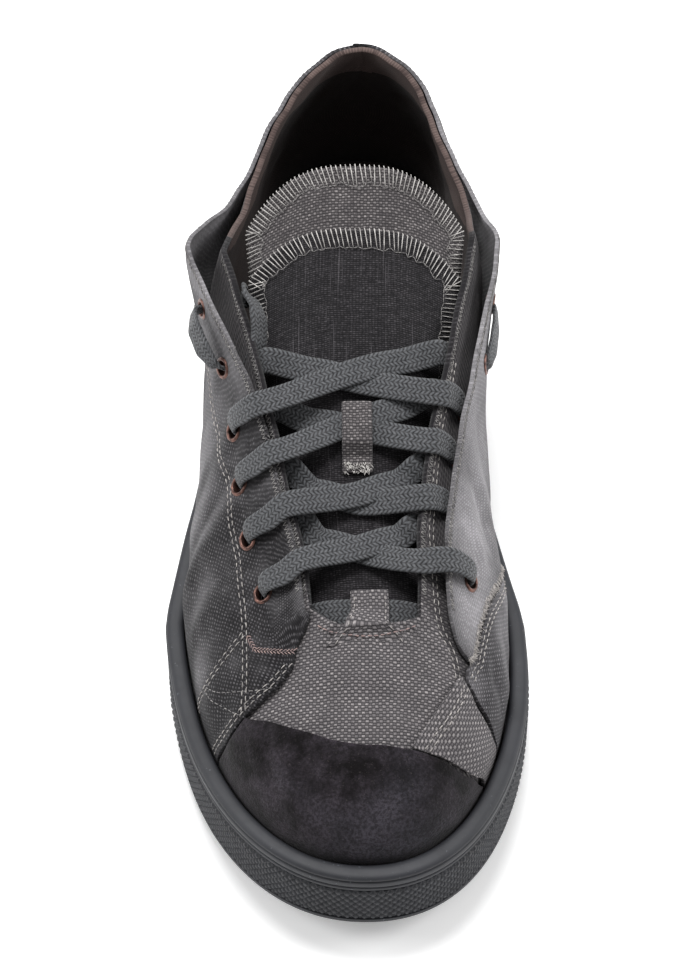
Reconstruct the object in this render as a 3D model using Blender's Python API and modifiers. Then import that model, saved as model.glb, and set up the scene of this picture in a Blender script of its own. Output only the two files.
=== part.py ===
"""A worn low canvas sneaker, the right shoe of a pair, standing empty on its sole.

The toe points to -Y and the wearer's outer side is -X. The origin is on the floor under
the middle of the shoe's box. Lengths are in metres.
"""

import bisect
import math

import bmesh
import bpy
import numpy as np
from mathutils import Matrix, Vector

mm = 0.001

# Sole: outline, heights and wall.
sole_length = 300 * mm
ball_width = 109 * mm
heel_width = 78 * mm
side_shift = 1.8 * mm
toe_round = 94 * mm
heel_round = 47 * mm
toe_power = 2.15
heel_power = 2.3
rim_height = 26 * mm
rim_width = 6 * mm
rim_round = 1.2 * mm
floor_height = 10 * mm
toe_spring = 7 * mm
arch_rise = 2.5 * mm
heel_bevel = 1.5 * mm
wall_inset = 0.4 * mm
edge_round = 1.6 * mm
bumper_depth = 1.6 * mm
bumper_foot = 2.2 * mm
bumper_top = 5.8 * mm
groove_depth = 0.7 * mm
groove_width = 0.8 * mm
high_groove = 1.6 * mm
low_groove = 4.4 * mm
lug_depth = 2.0 * mm
lug_gap = 3.0 * mm
lug_pitch = 12 * mm
lug_margin = 9 * mm
forefoot_lugs = -76 * mm
forefoot_grooves = 5
heel_lugs = 66 * mm
heel_grooves = 5

# Upper: heights that its sections follow, and the thickness of its layers.
instep_height = 88 * mm
heel_height = 72 * mm
upper_wall = 1.8 * mm
overlay_wall = 1.2 * mm
insole_thickness = 4 * mm
clearance = 0.3 * mm
rim_gap = 0.6 * mm
layer_gap = 0.55 * mm
flap_lift = 8 * mm
flap_root = 0.45

# Tongues, laces and eyelets.
tongue_wall = 1.6 * mm
tongue_half_width = 33 * mm
tongue_drop = 12 * mm
tongue_corner = 8 * mm
lace_width = 8 * mm
lace_thickness = 1.4 * mm
end_tube = 2.4 * mm
end_points = 12
keeper_width = 9 * mm
tab_width = 13 * mm
eyelet_bore = 4.4 * mm
eyelet_wall = 0.5 * mm
eyelet_flange = 8.4 * mm
eyelet_barrel = 2.4 * mm
eyelet_sides = 10
hole_reach = 24 * mm

# Where the outline's two round ends start, as shares of the way from heel to toe.
heel_share = 0.2
toe_share = 0.65
heel_pole = sole_length / 2 - heel_round
toe_pole = toe_round - sole_length / 2

# The edge's corners, as shares of the way from toe to heel on either side.
throat_corner = 0.25
facing_corner = 0.58

# The bumper's ends and the back seam, in the same way, and how far the overlays reach down
# between the upper and the sole's rim.
bumper_end = 0.325
back_seam = 0.998
overlay_foot = -0.4
cap_tuck = 0.2
patch_arch = 0.052


def smooth(t):
    t = min(max(t, 0.0), 1.0)
    return t * t * (3 - 2 * t)


def lerp(a, b, t):
    return a + (b - a) * t


def through(rows, t):
    """The smooth curve through rows of (place, value, ...), read at the place t. It never
    swings past its rows."""
    places = [row[0] for row in rows]
    t = min(max(t, places[0]), places[-1])
    i = min(max(bisect.bisect_right(places, t) - 1, 0), len(rows) - 2)
    values = np.array([row[1:] for row in rows], dtype=float)
    steps = np.diff(places)
    secants = np.diff(values, axis=0) / steps[:, None]

    def slope(k):
        if k in (0, len(rows) - 1):
            return secants[min(k, len(secants) - 1)]
        before, after = secants[k - 1], secants[k]
        near, far = 2 * steps[k] + steps[k - 1], steps[k] + 2 * steps[k - 1]
        same_way = before * after > 0
        low, high = np.where(same_way, before, 1), np.where(same_way, after, 1)
        return np.where(same_way, (near + far) / (near / low + far / high), 0)

    u = (t - places[i]) / steps[i]
    found = (
        (1 + 2 * u) * (1 - u) ** 2 * values[i]
        + u * u * (3 - 2 * u) * values[i + 1]
        + u * (1 - u) ** 2 * steps[i] * slope(i)
        - u * u * (1 - u) * steps[i] * slope(i + 1)
    )
    return found if len(found) > 1 else float(found[0])


# Share of the length from toe to heel, and the centre line's shift as a share of the ball
# width: the toe leans to the big toe's side and the waist curves to the outer side. All of
# it moves by side_shift, so that the shoe's box stands over the origin.
centre_line = (
    (0.00, 0.036),
    (0.12, 0.012),
    (0.23, -0.004),
    (0.32, -0.022),
    (0.45, -0.034),
    (0.60, -0.036),
    (0.80, -0.008),
    (1.00, 0.025),
)

# Share of the length from toe to heel, and the rim's height as a share of rim_height.
rim_line = (
    (0.00, 1.19),
    (0.10, 1.10),
    (0.22, 0.99),
    (0.34, 0.96),
    (0.55, 1.02),
    (0.80, 1.12),
    (1.00, 1.22),
)

# The cup's floor in the same way, as a share of floor_height.
floor_line = (
    (0.00, 1.55),
    (0.12, 1.15),
    (0.30, 0.92),
    (0.55, 1.20),
    (0.80, 1.55),
    (1.00, 1.60),
)


# From the heel's round end to the toe's, and how much of the ball's extra width is reached.
waist_line = (
    (0.00, 0.00),
    (0.30, 0.03),
    (0.50, 0.16),
    (0.67, 0.37),
    (0.80, 0.63),
    (0.91, 0.85),
    (0.96, 0.95),
    (1.00, 1.00),
)


def from_toe(y):
    return min(max(y / sole_length + 0.5, 0.0), 1.0)


def centre_x(y):
    return through(centre_line, from_toe(y)) * ball_width + side_shift


def rim_z(y):
    return through(rim_line, from_toe(y)) * rim_height


def floor_z(y):
    return through(floor_line, from_toe(y)) * floor_height


def ground_z(y):
    """The sole's underside: flat at forefoot and heel, lifted at the toe and the arch."""
    d = from_toe(y)
    toe = toe_spring * max(0.0, (0.26 - d) / 0.26) ** 2
    arch = arch_rise * smooth((d - 0.40) / 0.12) * smooth((0.70 - d) / 0.12)
    heel = heel_bevel * max(0.0, (d - 0.94) / 0.06) ** 2
    return toe + arch + heel


def outline(s, inset=0.0):
    """(x, y) of the sole's outline moved in by inset: s is 0 at the toe, 1 at the heel,
    below 0 on the outer side."""
    side = -1.0 if s < 0 else 1.0
    place = 1.0 - abs(s)
    if place < heel_share:
        turn = place / heel_share * math.pi / 2
        half = (heel_width / 2 - inset) * math.sin(turn) ** (2 / heel_power)
        y = heel_pole + (heel_round - inset) * max(math.cos(turn), 0) ** (2 / heel_power)
    elif place > toe_share:
        turn = (place - toe_share) / (1 - toe_share) * math.pi / 2
        half = (ball_width / 2 - inset) * max(math.cos(turn), 0) ** (2 / toe_power)
        y = toe_pole - (toe_round - inset) * math.sin(turn) ** (2 / toe_power)
    else:
        t = (place - heel_share) / (toe_share - heel_share)
        y = lerp(heel_pole, toe_pole, t)
        half = lerp(heel_width, ball_width, through(waist_line, t)) / 2 - inset
    return side * half + centre_x(y), y


def outward(s):
    """The outline's outward direction in plan."""
    step = 0.004
    x0, y0 = outline(s - step) if s - step > -1 else outline(s)
    x1, y1 = outline(s + step) if s + step < 1 else outline(s)
    along = Vector((x1 - x0, y1 - y0, 0.0)).normalized()
    return Vector((along.y, -along.x, 0.0))


# The upper's top edge, from the heel down the collar, the facing and the throat: s, then x
# as a share of half the ball width, y as a share of the length and z as a share of
# instep_height, of heel_height along the collar.
outer_collar = (
    (-1.00, 0.045, 0.4700, 1.000),
    (-0.985, -0.001, 0.4693, 0.998),
    (-0.97, -0.047, 0.4671, 0.995),
    (-0.95, -0.105, 0.4620, 0.990),
    (-0.93, -0.165, 0.4535, 0.985),
    (-0.87, -0.318, 0.417, 0.972),
    (-0.80, -0.445, 0.375, 0.944),
    (-0.73, -0.560, 0.313, 0.917),
    (-0.66, -0.640, 0.240, 0.972),
    (-0.61, -0.705, 0.172, 1.110),
    (-0.58, -0.733, 0.127, 1.222),
)
outer_facing = (
    (-0.58, -0.733, 0.127, 1.000),
    (-0.52, -0.627, 0.057, 0.989),
    (-0.46, -0.524, -0.009, 0.943),
    (-0.40, -0.436, -0.075, 0.892),
    (-0.34, -0.355, -0.143, 0.830),
    (-0.295, -0.280, -0.193, 0.778),
    (-0.25, -0.225, -0.262, 0.722),
)
throat_base = (
    (-0.25, -0.225, -0.262, 0.722),
    (-0.12, -0.060, -0.278, 0.718),
    (0.00, 0.070, -0.279, 0.718),
    (0.12, 0.210, -0.277, 0.718),
    (0.25, 0.362, -0.270, 0.716),
)
inner_facing = (
    (0.25, 0.362, -0.270, 0.716),
    (0.295, 0.360, -0.195, 0.784),
    (0.34, 0.390, -0.140, 0.830),
    (0.40, 0.435, -0.080, 0.886),
    (0.46, 0.520, -0.014, 0.943),
    (0.52, 0.608, 0.066, 0.989),
    (0.58, 0.685, 0.148, 1.000),
)
inner_collar = (
    (0.58, 0.685, 0.148, 1.222),
    (0.61, 0.680, 0.182, 1.120),
    (0.66, 0.675, 0.240, 0.975),
    (0.73, 0.585, 0.313, 0.917),
    (0.80, 0.475, 0.375, 0.944),
    (0.87, 0.395, 0.417, 0.972),
    (0.93, 0.250, 0.4535, 0.985),
    (0.95, 0.195, 0.4620, 0.990),
    (0.97, 0.137, 0.4671, 0.995),
    (0.985, 0.091, 0.4693, 0.998),
    (1.00, 0.045, 0.4700, 1.000),
)

# How each section leaves the sole and reaches the edge, by distance from the toe: outward
# and upward pull at the sole, inward and upward pull at the edge, shares of instep_height.
section_pull = (
    (0.00, 0.00, 0.70, 0.84, 0.35),
    (0.12, 0.02, 0.68, 0.74, 0.34),
    (0.25, 0.07, 0.63, 0.42, 0.30),
    (0.34, 0.13, 0.61, 0.36, 0.33),
    (0.42, 0.25, 0.59, 0.32, 0.36),
    (0.50, 0.37, 0.58, 0.24, 0.43),
    (0.58, 0.40, 0.57, 0.17, 0.50),
    (0.66, 0.30, 0.52, 0.11, 0.45),
    (0.75, 0.19, 0.47, 0.07, 0.43),
    (0.88, 0.14, 0.47, 0.10, 0.43),
    (1.00, 0.14, 0.50, 0.08, 0.43),
)

upper_inset = rim_width + rim_gap + overlay_wall + layer_gap


def edge(s):
    """A point on the upper's top edge."""
    if abs(s) > facing_corner:
        rows, height = (outer_collar if s < 0 else inner_collar), heel_height
    elif abs(s) > throat_corner:
        rows, height = (outer_facing if s < 0 else inner_facing), instep_height
    else:
        rows, height = throat_base, instep_height
    x, y, z = through(rows, s)
    return Vector((x * ball_width / 2 + side_shift, y * sole_length, z * height))


def skin(s, h):
    """The upper's outer face: h is 0 at the sole's rim and 1 at the top edge, and from 0 to
    -1 it runs down to the cup's floor."""
    x, y = outline(s, upper_inset)
    foot = Vector((x, y, rim_z(y) - rim_round / 2))
    if h < 0:
        foot.z = lerp(foot.z, floor_z(y) + clearance, -h)
        return foot
    top = edge(s)
    away, lift, inward, rise = through(section_pull, abs(s))
    out = outward(s)
    start = (out * away + Vector((0, 0, lift))) * instep_height
    finish = (out * -inward + Vector((0, 0, rise))) * instep_height
    return (
        foot * (1 + 2 * h) * (1 - h) ** 2
        + top * h * h * (3 - 2 * h)
        + start * h * (1 - h) ** 2
        - finish * h * h * (1 - h)
    )


def skin_normal(s, h):
    if h < 0:
        return outward(s)
    step = 0.01
    low, high = max(h - step, 0), min(h + step, 1)
    before, after = max(s - step, -1), min(s + step, 1)
    up = skin(s, high) - skin(s, low)
    around = skin(after, h) - skin(before, h)
    return around.cross(up).normalized()


def over_skin(s, h, lift):
    """A point at a height over the upper's outer face."""
    return skin(s, h) + skin_normal(s, h) * lift


# How far each quarter's free top stands off the upper, in shares of flap_lift: the outer
# one flares at its top corner, the inner one stands off along the whole facing.
outer_flare = (
    (0.00, 0.00),
    (0.36, 0.00),
    (0.42, 0.14),
    (0.46, 0.34),
    (0.50, 0.62),
    (0.54, 0.92),
    (0.58, 1.10),
    (0.62, 0.80),
    (0.68, 0.25),
    (0.74, 0.00),
    (1.00, 0.00),
)
inner_flare = (
    (0.00, 0.06),
    (0.24, 0.10),
    (0.27, 0.34),
    (0.30, 0.46),
    (0.40, 0.50),
    (0.50, 0.56),
    (0.58, 0.66),
    (0.63, 0.36),
    (0.70, 0.06),
    (0.74, 0.00),
    (1.00, 0.00),
)


def flare(s, h):
    rows = outer_flare if s < 0 else inner_flare
    return through(rows, abs(s)) * flap_lift * smooth((h - flap_root) / (1 - flap_root))


# Edges of the overlays on the upper. The outer quarter's front edge: h, s.
outer_front = (
    (-0.40, -0.2170),
    (0.00, -0.2165),
    (0.26, -0.2025),
    (0.40, -0.1945),
    (0.55, -0.1795),
    (0.745, -0.1620),
    (0.834, -0.1840),
    (0.893, -0.1940),
    (1.00, -0.2300),
)
# The toe cap's rear edge, slanting down to the inner side: s, h.
cap_top = (
    (-0.1920, 0.400),
    (-0.1420, 0.509),
    (-0.0650, 0.558),
    (0.0090, 0.555),
    (0.0620, 0.507),
    (0.1130, 0.385),
    (0.1600, 0.180),
)
cap_foot = (-0.2140, 0.1850)
# The inner quarter's free top edge, and its folded lower edge that climbs to the throat.
inner_top = (
    (0.238, 0.665),
    (0.264, 0.820),
    (0.298, 0.865),
    (0.351, 0.865),
    (0.400, 0.860),
    (0.445, 0.870),
    (0.481, 0.885),
    (0.520, 0.885),
    (0.553, 0.895),
    (0.580, 0.935),
    (0.620, 0.975),
    (0.700, 0.980),
    (1.000, 0.980),
)
inner_fold = (
    (0.238, 0.600),
    (0.278, 0.530),
    (0.310, 0.450),
    (0.345, 0.330),
    (0.380, 0.200),
    (0.415, 0.060),
    (0.435, -0.200),
    (0.450, -0.400),
    (1.000, -0.400),
)
outer_top = (
    (0.160, 0.975),
    (0.440, 0.970),
    (0.480, 0.945),
    (0.540, 0.955),
    (0.580, 0.975),
    (0.700, 0.980),
    (1.000, 0.980),
)
panel_top = (
    (0.207, 0.550),
    (0.222, 0.585),
    (0.238, 0.580),
    (0.278, 0.512),
    (0.310, 0.432),
    (0.345, 0.312),
    (0.380, 0.182),
    (0.412, 0.045),
)
panel_foot = (0.2285, 0.4180)
# The patch between toe cap and side panel: from the sole up, s and h of its two sides.
patch_sides = (
    (0.00, 0.1890, -0.400, 0.2255, -0.400),
    (0.20, 0.1885, 0.000, 0.2250, 0.000),
    (0.40, 0.1660, 0.170, 0.2160, 0.194),
    (0.70, 0.1165, 0.390, 0.2060, 0.381),
    (1.00, 0.0650, 0.515, 0.1990, 0.605),
)

# Eyelets from the throat up, on the outer and the inner side: s, h and 1 where the eyelet
# goes through the quarter, 0 where it sits on the upper beneath the inner quarter's edge.
eyelets_outer = (
    (-0.280, 0.720, 1),
    (-0.327, 0.702, 1),
    (-0.372, 0.712, 1),
    (-0.420, 0.741, 1),
    (-0.477, 0.790, 1),
    (-0.537, 0.820, 1),
)
eyelets_inner = (
    (0.296, 0.640, 1),
    (0.345, 0.745, 0),
    (0.392, 0.745, 0),
    (0.440, 0.745, 0),
    (0.492, 0.720, 1),
    (0.548, 0.740, 1),
)

# The front tongue from the throat up: share of its way, then y as a share of the length, z
# as a share of instep_height, half width and centre as shares of tongue_half_width, and the
# drop of its sides as a share of tongue_drop.
front_tongue_rows = (
    (0.00, -0.307, 0.600, 0.50, 0.12, 0.45),
    (0.07, -0.280, 0.652, 0.55, 0.12, 0.55),
    (0.18, -0.233, 0.702, 0.68, 0.10, 0.80),
    (0.38, -0.150, 0.782, 0.84, 0.03, 1.12),
    (0.52, -0.090, 0.846, 0.87, 0.015, 1.15),
    (0.67, -0.027, 0.928, 0.88, 0.01, 1.15),
    (0.84, 0.047, 1.034, 0.91, 0.01, 1.15),
    (1.00, 0.117, 1.142, 0.97, 0.02, 1.25),
)
rear_tongue_rows = (
    (0.00, -0.307, 0.556, 0.50, 0.12, 0.45),
    (0.07, -0.280, 0.608, 0.55, 0.12, 0.55),
    (0.17, -0.233, 0.661, 0.68, 0.10, 0.83),
    (0.34, -0.150, 0.743, 0.84, 0.03, 1.17),
    (0.46, -0.090, 0.808, 0.87, 0.015, 1.18),
    (0.59, -0.027, 0.890, 0.88, 0.01, 1.18),
    (0.74, 0.047, 0.996, 0.91, 0.01, 1.19),
    (0.88, 0.117, 1.105, 0.96, 0.02, 1.38),
    (1.00, 0.177, 1.240, 1.00, 0.02, 1.75),
)


def tongue_point(rows, u, v):
    """u runs across from -1 to 1, v from the throat to the top edge."""
    y, z, half, centre, drop = through(rows, v)
    x = (centre + u * half) * tongue_half_width + side_shift
    y = y * sole_length - tongue_corner * abs(u) ** 3.5 * v**6
    z = z * instep_height - drop * tongue_drop * abs(u) ** 2.6
    return Vector((x, y, z))


def over_tongue(u, v, lift):
    step = 0.02
    across = tongue_point(front_tongue_rows, u + step, v)
    across -= tongue_point(front_tongue_rows, u - step, v)
    up = tongue_point(front_tongue_rows, u, min(v + step, 1))
    up -= tongue_point(front_tongue_rows, u, max(v - step, 0))
    normal = across.cross(up).normalized()
    return tongue_point(front_tongue_rows, u, v) + normal * lift, normal


# Building begins with an empty scene.
for old in list(bpy.data.objects):
    bpy.data.objects.remove(old, do_unlink=True)

sneaker = bpy.data.collections.new("sneaker")
cutters = bpy.data.collections.new("cutters")
bpy.context.scene.collection.children.link(sneaker)
bpy.context.scene.collection.children.link(cutters)
cutters.hide_render = True


def material(name, colour, roughness, metallic=0.0):
    made = bpy.data.materials.new(name)
    made.use_nodes = True
    shader = made.node_tree.nodes["Principled BSDF"]
    shader.inputs["Base Color"].default_value = (*colour, 1)
    shader.inputs["Roughness"].default_value = roughness
    shader.inputs["Metallic"].default_value = metallic
    return made


rubber = material("slate rubber", (0.070, 0.080, 0.095), 0.55)
canvas = material("washed grey canvas", (0.090, 0.088, 0.090), 0.95)
dark_canvas = material("dark canvas", (0.045, 0.045, 0.048), 0.95)
suede = material("black suede", (0.018, 0.016, 0.018), 0.98)
lining = material("brown lining", (0.050, 0.032, 0.026), 0.9)
webbing = material("slate lace", (0.035, 0.040, 0.044), 0.85)
metal = material("copper eyelet", (0.300, 0.150, 0.110), 0.35, 1.0)


def mesh_object(name, points, faces, skin_material, collection=sneaker):
    mesh = bpy.data.meshes.new(name)
    mesh.from_pydata(points, [], faces)
    mesh.materials.append(skin_material)
    mesh.shade_smooth()
    mesh.set_sharp_from_angle(angle=math.radians(40))
    made = bpy.data.objects.new(name, mesh)
    collection.objects.link(made)
    if collection is cutters:
        made.hide_render = True
        made.display_type = "WIRE"
    return made


def grid_faces(rows, columns, closed=False):
    """Quads between rows of points, with outside faces where columns run with the sun and
    rows run up."""
    faces = []
    for r in range(rows - 1):
        for c in range(columns if closed else columns - 1):
            after = (c + 1) % columns
            low, high = r * columns, (r + 1) * columns
            faces.append((low + c, low + after, high + after, high + c))
    return faces


def solidify(made, thickness, offset):
    wall = made.modifiers.new("wall", "SOLIDIFY")
    wall.thickness = thickness
    wall.offset = offset
    wall.use_rim = True
    return wall


def boolean(made, other, operation):
    step = made.modifiers.new(operation.lower(), "BOOLEAN")
    step.object = other
    step.operation = operation
    step.solver = "EXACT"


def steps(start, end, count):
    return [lerp(start, end, k / count) for k in range(count + 1)]


# Stations around the foot: closer at the heel and the toe, where the outline turns.
levels = (-1, 0, 0.11, 0.23, 0.37, 0.51, 0.65, 0.78, 0.9, 1)
half_stations = (
    steps(0.0, 1 - toe_share, 9)
    + steps(1 - toe_share, 1 - heel_share, 9)[1:]
    + steps(1 - heel_share, 1.0, 6)[1:]
)
stations = [-s for s in reversed(half_stations[1:])] + half_stations[:-1]


def ladder(at, offset, flip):
    """Faces across a ring, between its outer and its inner side."""
    count = len(at)
    toe = at.index(0.0)
    faces = []
    for k in range(1, toe + 1):
        corners = [toe - k, toe - k + 1, toe + k - 1, (toe + k) % count]
        if k == 1:
            corners.pop(2)
        if k == toe:
            corners.pop()
        face = [offset + corner for corner in corners]
        faces.append(face[::-1] if flip else face)
    return faces


def loft(name, section, at, skin_material):
    """A closed body round the foot: section gives its (inset, height) at a station, from the
    underside up its outer face."""
    sections = [section(s) for s in at]
    rings = list(zip(*sections))
    points = []
    for ring in rings:
        points += [(*outline(s, inset), z) for s, (inset, z) in zip(at, ring)]
    faces = grid_faces(len(rings), len(at), closed=True)
    faces += ladder(at, 0, True)
    faces += ladder(at, (len(rings) - 1) * len(at), False)
    return mesh_object(name, points, faces, skin_material)


def sole_section(s):
    """The cup: up its wall with two grooves, over the rim and down to its floor."""
    y = outline(s)[1]
    ground, rim = ground_z(y), rim_z(y)
    recess = bumper_depth + clearance if abs(s) < bumper_end else wall_inset
    half = groove_width / 2
    return (
        (edge_round, ground),
        (edge_round / 4, ground + edge_round),
        (wall_inset, ground + bumper_foot),
        (recess, ground + bumper_foot + half),
        (recess, rim - bumper_top - half),
        (wall_inset, rim - bumper_top),
        (wall_inset, rim - low_groove - half),
        (wall_inset + groove_depth, rim - low_groove),
        (wall_inset, rim - low_groove + half),
        (wall_inset, rim - high_groove - half),
        (wall_inset + groove_depth, rim - high_groove),
        (wall_inset, rim - high_groove + half),
        (wall_inset + rim_round, rim),
        (rim_width - rim_round, rim),
        (rim_width, rim - rim_round),
        (rim_width, floor_z(outline(s, rim_width)[1])),
    )


def cup_sole():
    step_stations = [side * (bumper_end + d) for side in (-1, 1) for d in (-0.001, 0.001)]
    at = sorted(stations + step_stations)
    made = loft("cup_sole", sole_section, at, rubber)
    boolean(made, lug_grooves(), "DIFFERENCE")
    return made


def lug_grooves():
    """Grooves across the flat of the forefoot and the heel, which leave the main lugs."""
    shape = bmesh.new()
    rows = [forefoot_lugs + k * lug_pitch for k in range(forefoot_grooves)]
    rows += [heel_lugs + k * lug_pitch for k in range(heel_grooves)]
    for y in rows:
        half = half_width_at(y) - lug_margin
        place = Matrix.Translation((centre_x(y), y, 0))
        size = Matrix.Diagonal((2 * half, lug_gap, 2 * lug_depth, 1))
        bmesh.ops.create_cube(shape, size=1, matrix=place @ size)
    mesh = bpy.data.meshes.new("lug_grooves")
    shape.to_mesh(mesh)
    shape.free()
    made = bpy.data.objects.new("lug_grooves", mesh)
    cutters.objects.link(made)
    made.hide_render = True
    made.display_type = "WIRE"
    return made


def half_width_at(y):
    t = (heel_pole - y) / (heel_pole - toe_pole)
    return lerp(heel_width, ball_width, through(waist_line, t)) / 2


def toe_bumper():
    """The knurled band round the toe, let into a recess of the sole's wall."""
    end = bumper_end - 0.002
    at = steps(-end, end, 24)
    points = []
    for top in (False, True):
        for s in at:
            y = outline(s)[1]
            low = ground_z(y) + bumper_foot + groove_width / 2 + clearance
            high = rim_z(y) - bumper_top - groove_width / 2 - clearance
            points.append((*outline(s), high if top else low))
    made = mesh_object("toe_bumper", points, grid_faces(2, len(at)), rubber)
    solidify(made, bumper_depth, -1)
    return made


def insole_section(s):
    inset = upper_inset + upper_wall + clearance
    base = floor_z(outline(s, inset)[1]) + clearance
    return ((inset, base), (inset, base + insole_thickness))


def upper():
    """The lining and vamp as one hollow shell, open at collar, throat and underneath."""
    points = [skin(s, h) for h in levels for s in stations]
    faces = grid_faces(len(levels), len(stations), closed=True)
    made = mesh_object("upper", points, faces, canvas)
    solidify(made, upper_wall, -1)
    return made


def overlay(name, lines, skin_material):
    """A layer over the upper, through lines of places from its lower edge to its top."""
    points = [over_skin(s, h, layer_gap + flare(s, h)) for line in lines for s, h in line]
    made = mesh_object(name, points, grid_faces(len(lines), len(lines[0])), skin_material)
    solidify(made, overlay_wall, 1)
    return made


def lines_of(place, columns, rows):
    return [[place(c, r) for c in steps(0, 1, columns)] for r in steps(0, 1, rows)]


def outer_quarter():
    """From the back seam along the outer side to its front edge over the vamp."""
    shared = [-s for s in reversed(half_stations) if throat_corner < s < back_seam]
    lines = []
    for level in (overlay_foot, *levels[1:]):
        front = through(outer_front, level)
        along = [-back_seam, *shared, (shared[-1] + front) / 2, front]
        lines.append([(s, level * (through(outer_top, -s) if level > 0 else 1)) for s in along])
    return overlay("outer_quarter", lines, canvas)


def inner_quarter():
    """From the tip by the throat, over its folded edge, along the inner side to the back."""
    shared = [s for s in half_stations if throat_corner < s < back_seam]
    along = sorted([inner_top[0][0], 0.375, 0.42, 0.435, *shared, back_seam])
    lines = []
    for r in (0, 0.14, 0.28, 0.42, 0.55, 0.68, 0.79, 0.9, 1):
        lines.append([(s, lerp(through(inner_fold, s), through(inner_top, s), r)) for s in along])
    return overlay("inner_quarter", lines, canvas)


def toe_cap_place(c, r):
    low = lerp(cap_foot[0], cap_foot[1], c)
    high = lerp(cap_top[0][0], cap_top[-1][0], c)
    if r < cap_tuck:
        return low, lerp(overlay_foot, 0, r / cap_tuck)
    t = (r - cap_tuck) / (1 - cap_tuck)
    return lerp(low, high, t), through(cap_top, high) * t


def side_panel_place(c, r):
    low = lerp(panel_foot[0], panel_foot[1], c)
    high = lerp(panel_top[0][0], panel_top[-1][0], c)
    if r < cap_tuck:
        return low, lerp(overlay_foot, 0, r / cap_tuck)
    t = (r - cap_tuck) / (1 - cap_tuck)
    return lerp(low, high, t), through(panel_top, high) * t


def patch_place(c, r):
    s0, h0, s1, h1 = through(patch_sides, r)
    return lerp(s0, s1, c), lerp(h0, h1, c) + patch_arch * 4 * c * (1 - c) * r * r


def tongue(name, rows, skin_material):
    count_u, count_v = 10, 12
    points = [
        tongue_point(rows, u, v) for v in steps(0, 1, count_v) for u in steps(-1, 1, count_u)
    ]
    made = mesh_object(name, points, grid_faces(count_v + 1, count_u + 1), skin_material)
    solidify(made, tongue_wall, -1)
    return made


def eyelet_seat(s, h, on_quarter):
    """A point on the outer face of a quarter or the upper, and the direction out of it."""

    def at(s, h):
        return over_skin(s, h, on_quarter * (layer_gap + flare(s, h) + overlay_wall))

    step = 0.01
    normal = (at(s + step, h) - at(s - step, h)).cross(at(s, h + step) - at(s, h - step))
    return at(s, h), normal.normalized()


def eyelet_frame(s, h, on_quarter):
    point, normal = eyelet_seat(s, h, on_quarter)
    return Matrix.Translation(point) @ normal.to_track_quat("Z", "Y").to_matrix().to_4x4()


def eyelet_profile():
    """Half of an eyelet's section: its flange over the cloth and its barrel through it."""
    bore, flange = eyelet_bore / 2, eyelet_flange / 2
    seat = clearance * 1.5
    outline_points = (
        (bore + eyelet_wall, seat + eyelet_wall),
        (flange, seat),
        (bore + eyelet_wall, seat),
        (bore + eyelet_wall, -eyelet_barrel),
        (bore, -eyelet_barrel),
    )
    mesh = bpy.data.meshes.new("eyelet")
    count = len(outline_points)
    edges = [(k, (k + 1) % count) for k in range(count)]
    mesh.from_pydata([(x, 0, z) for x, z in outline_points], edges, [])
    mesh.materials.append(metal)
    return mesh


def eyelets():
    profile = eyelet_profile()
    for side, places in (("outer", eyelets_outer), ("inner", eyelets_inner)):
        for number, place in enumerate(places, 1):
            made = bpy.data.objects.new(f"eyelet_{side}_{number}", profile)
            made.matrix_world = eyelet_frame(*place)
            sneaker.objects.link(made)
            turn = made.modifiers.new("turn", "SCREW")
            turn.steps = turn.render_steps = eyelet_sides
            turn.merge_threshold = 0.01 * mm


def eyelet_holes():
    """One cutter with a round bar through each eyelet's place."""
    shape = bmesh.new()
    radius = eyelet_bore / 2 + eyelet_wall + clearance
    for place in eyelets_outer + eyelets_inner:
        through_quarter = place[2]
        bmesh.ops.create_cone(
            shape,
            cap_ends=True,
            segments=eyelet_sides,
            radius1=radius,
            radius2=radius,
            depth=hole_reach if through_quarter else 2 * (upper_wall + clearance),
            matrix=eyelet_frame(*place),
        )
    mesh = bpy.data.meshes.new("eyelet_holes")
    shape.to_mesh(mesh)
    shape.free()
    made = bpy.data.objects.new("eyelet_holes", mesh)
    cutters.objects.link(made)
    made.hide_render = True
    made.display_type = "WIRE"
    return made


def on_skin(s, h, lift):
    return over_skin(s, h, lift * mm), skin_normal(s, h)


def on_tongue(u, v, lift):
    return over_tongue(u, v, lift * mm)


def ribbon(name, stops, width, thickness, count, skin_material, collection=sneaker):
    """A flat strip through stops, each a point and the direction that the strip faces."""
    lengths = [0.0]
    for (before, _), (after, _) in zip(stops, stops[1:]):
        lengths.append(lengths[-1] + (after - before).length)
    rows = [(at, *point, *face) for at, (point, face) in zip(lengths, stops)]
    line = [through(rows, at) for at in steps(0, lengths[-1], count)]
    centres = [Vector(row[:3]) for row in line]
    points = []
    for k, row in enumerate(line):
        along = centres[min(k + 1, count)] - centres[max(k - 1, 0)]
        side = along.cross(Vector(row[3:])).normalized() * width / 2
        points += [centres[k] - side, centres[k] + side]
    faces = [(2 * k, 2 * k + 1, 2 * k + 3, 2 * k + 2) for k in range(count)]
    made = mesh_object(name, points, faces, skin_material, collection)
    solidify(made, thickness, 0)
    return made


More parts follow.
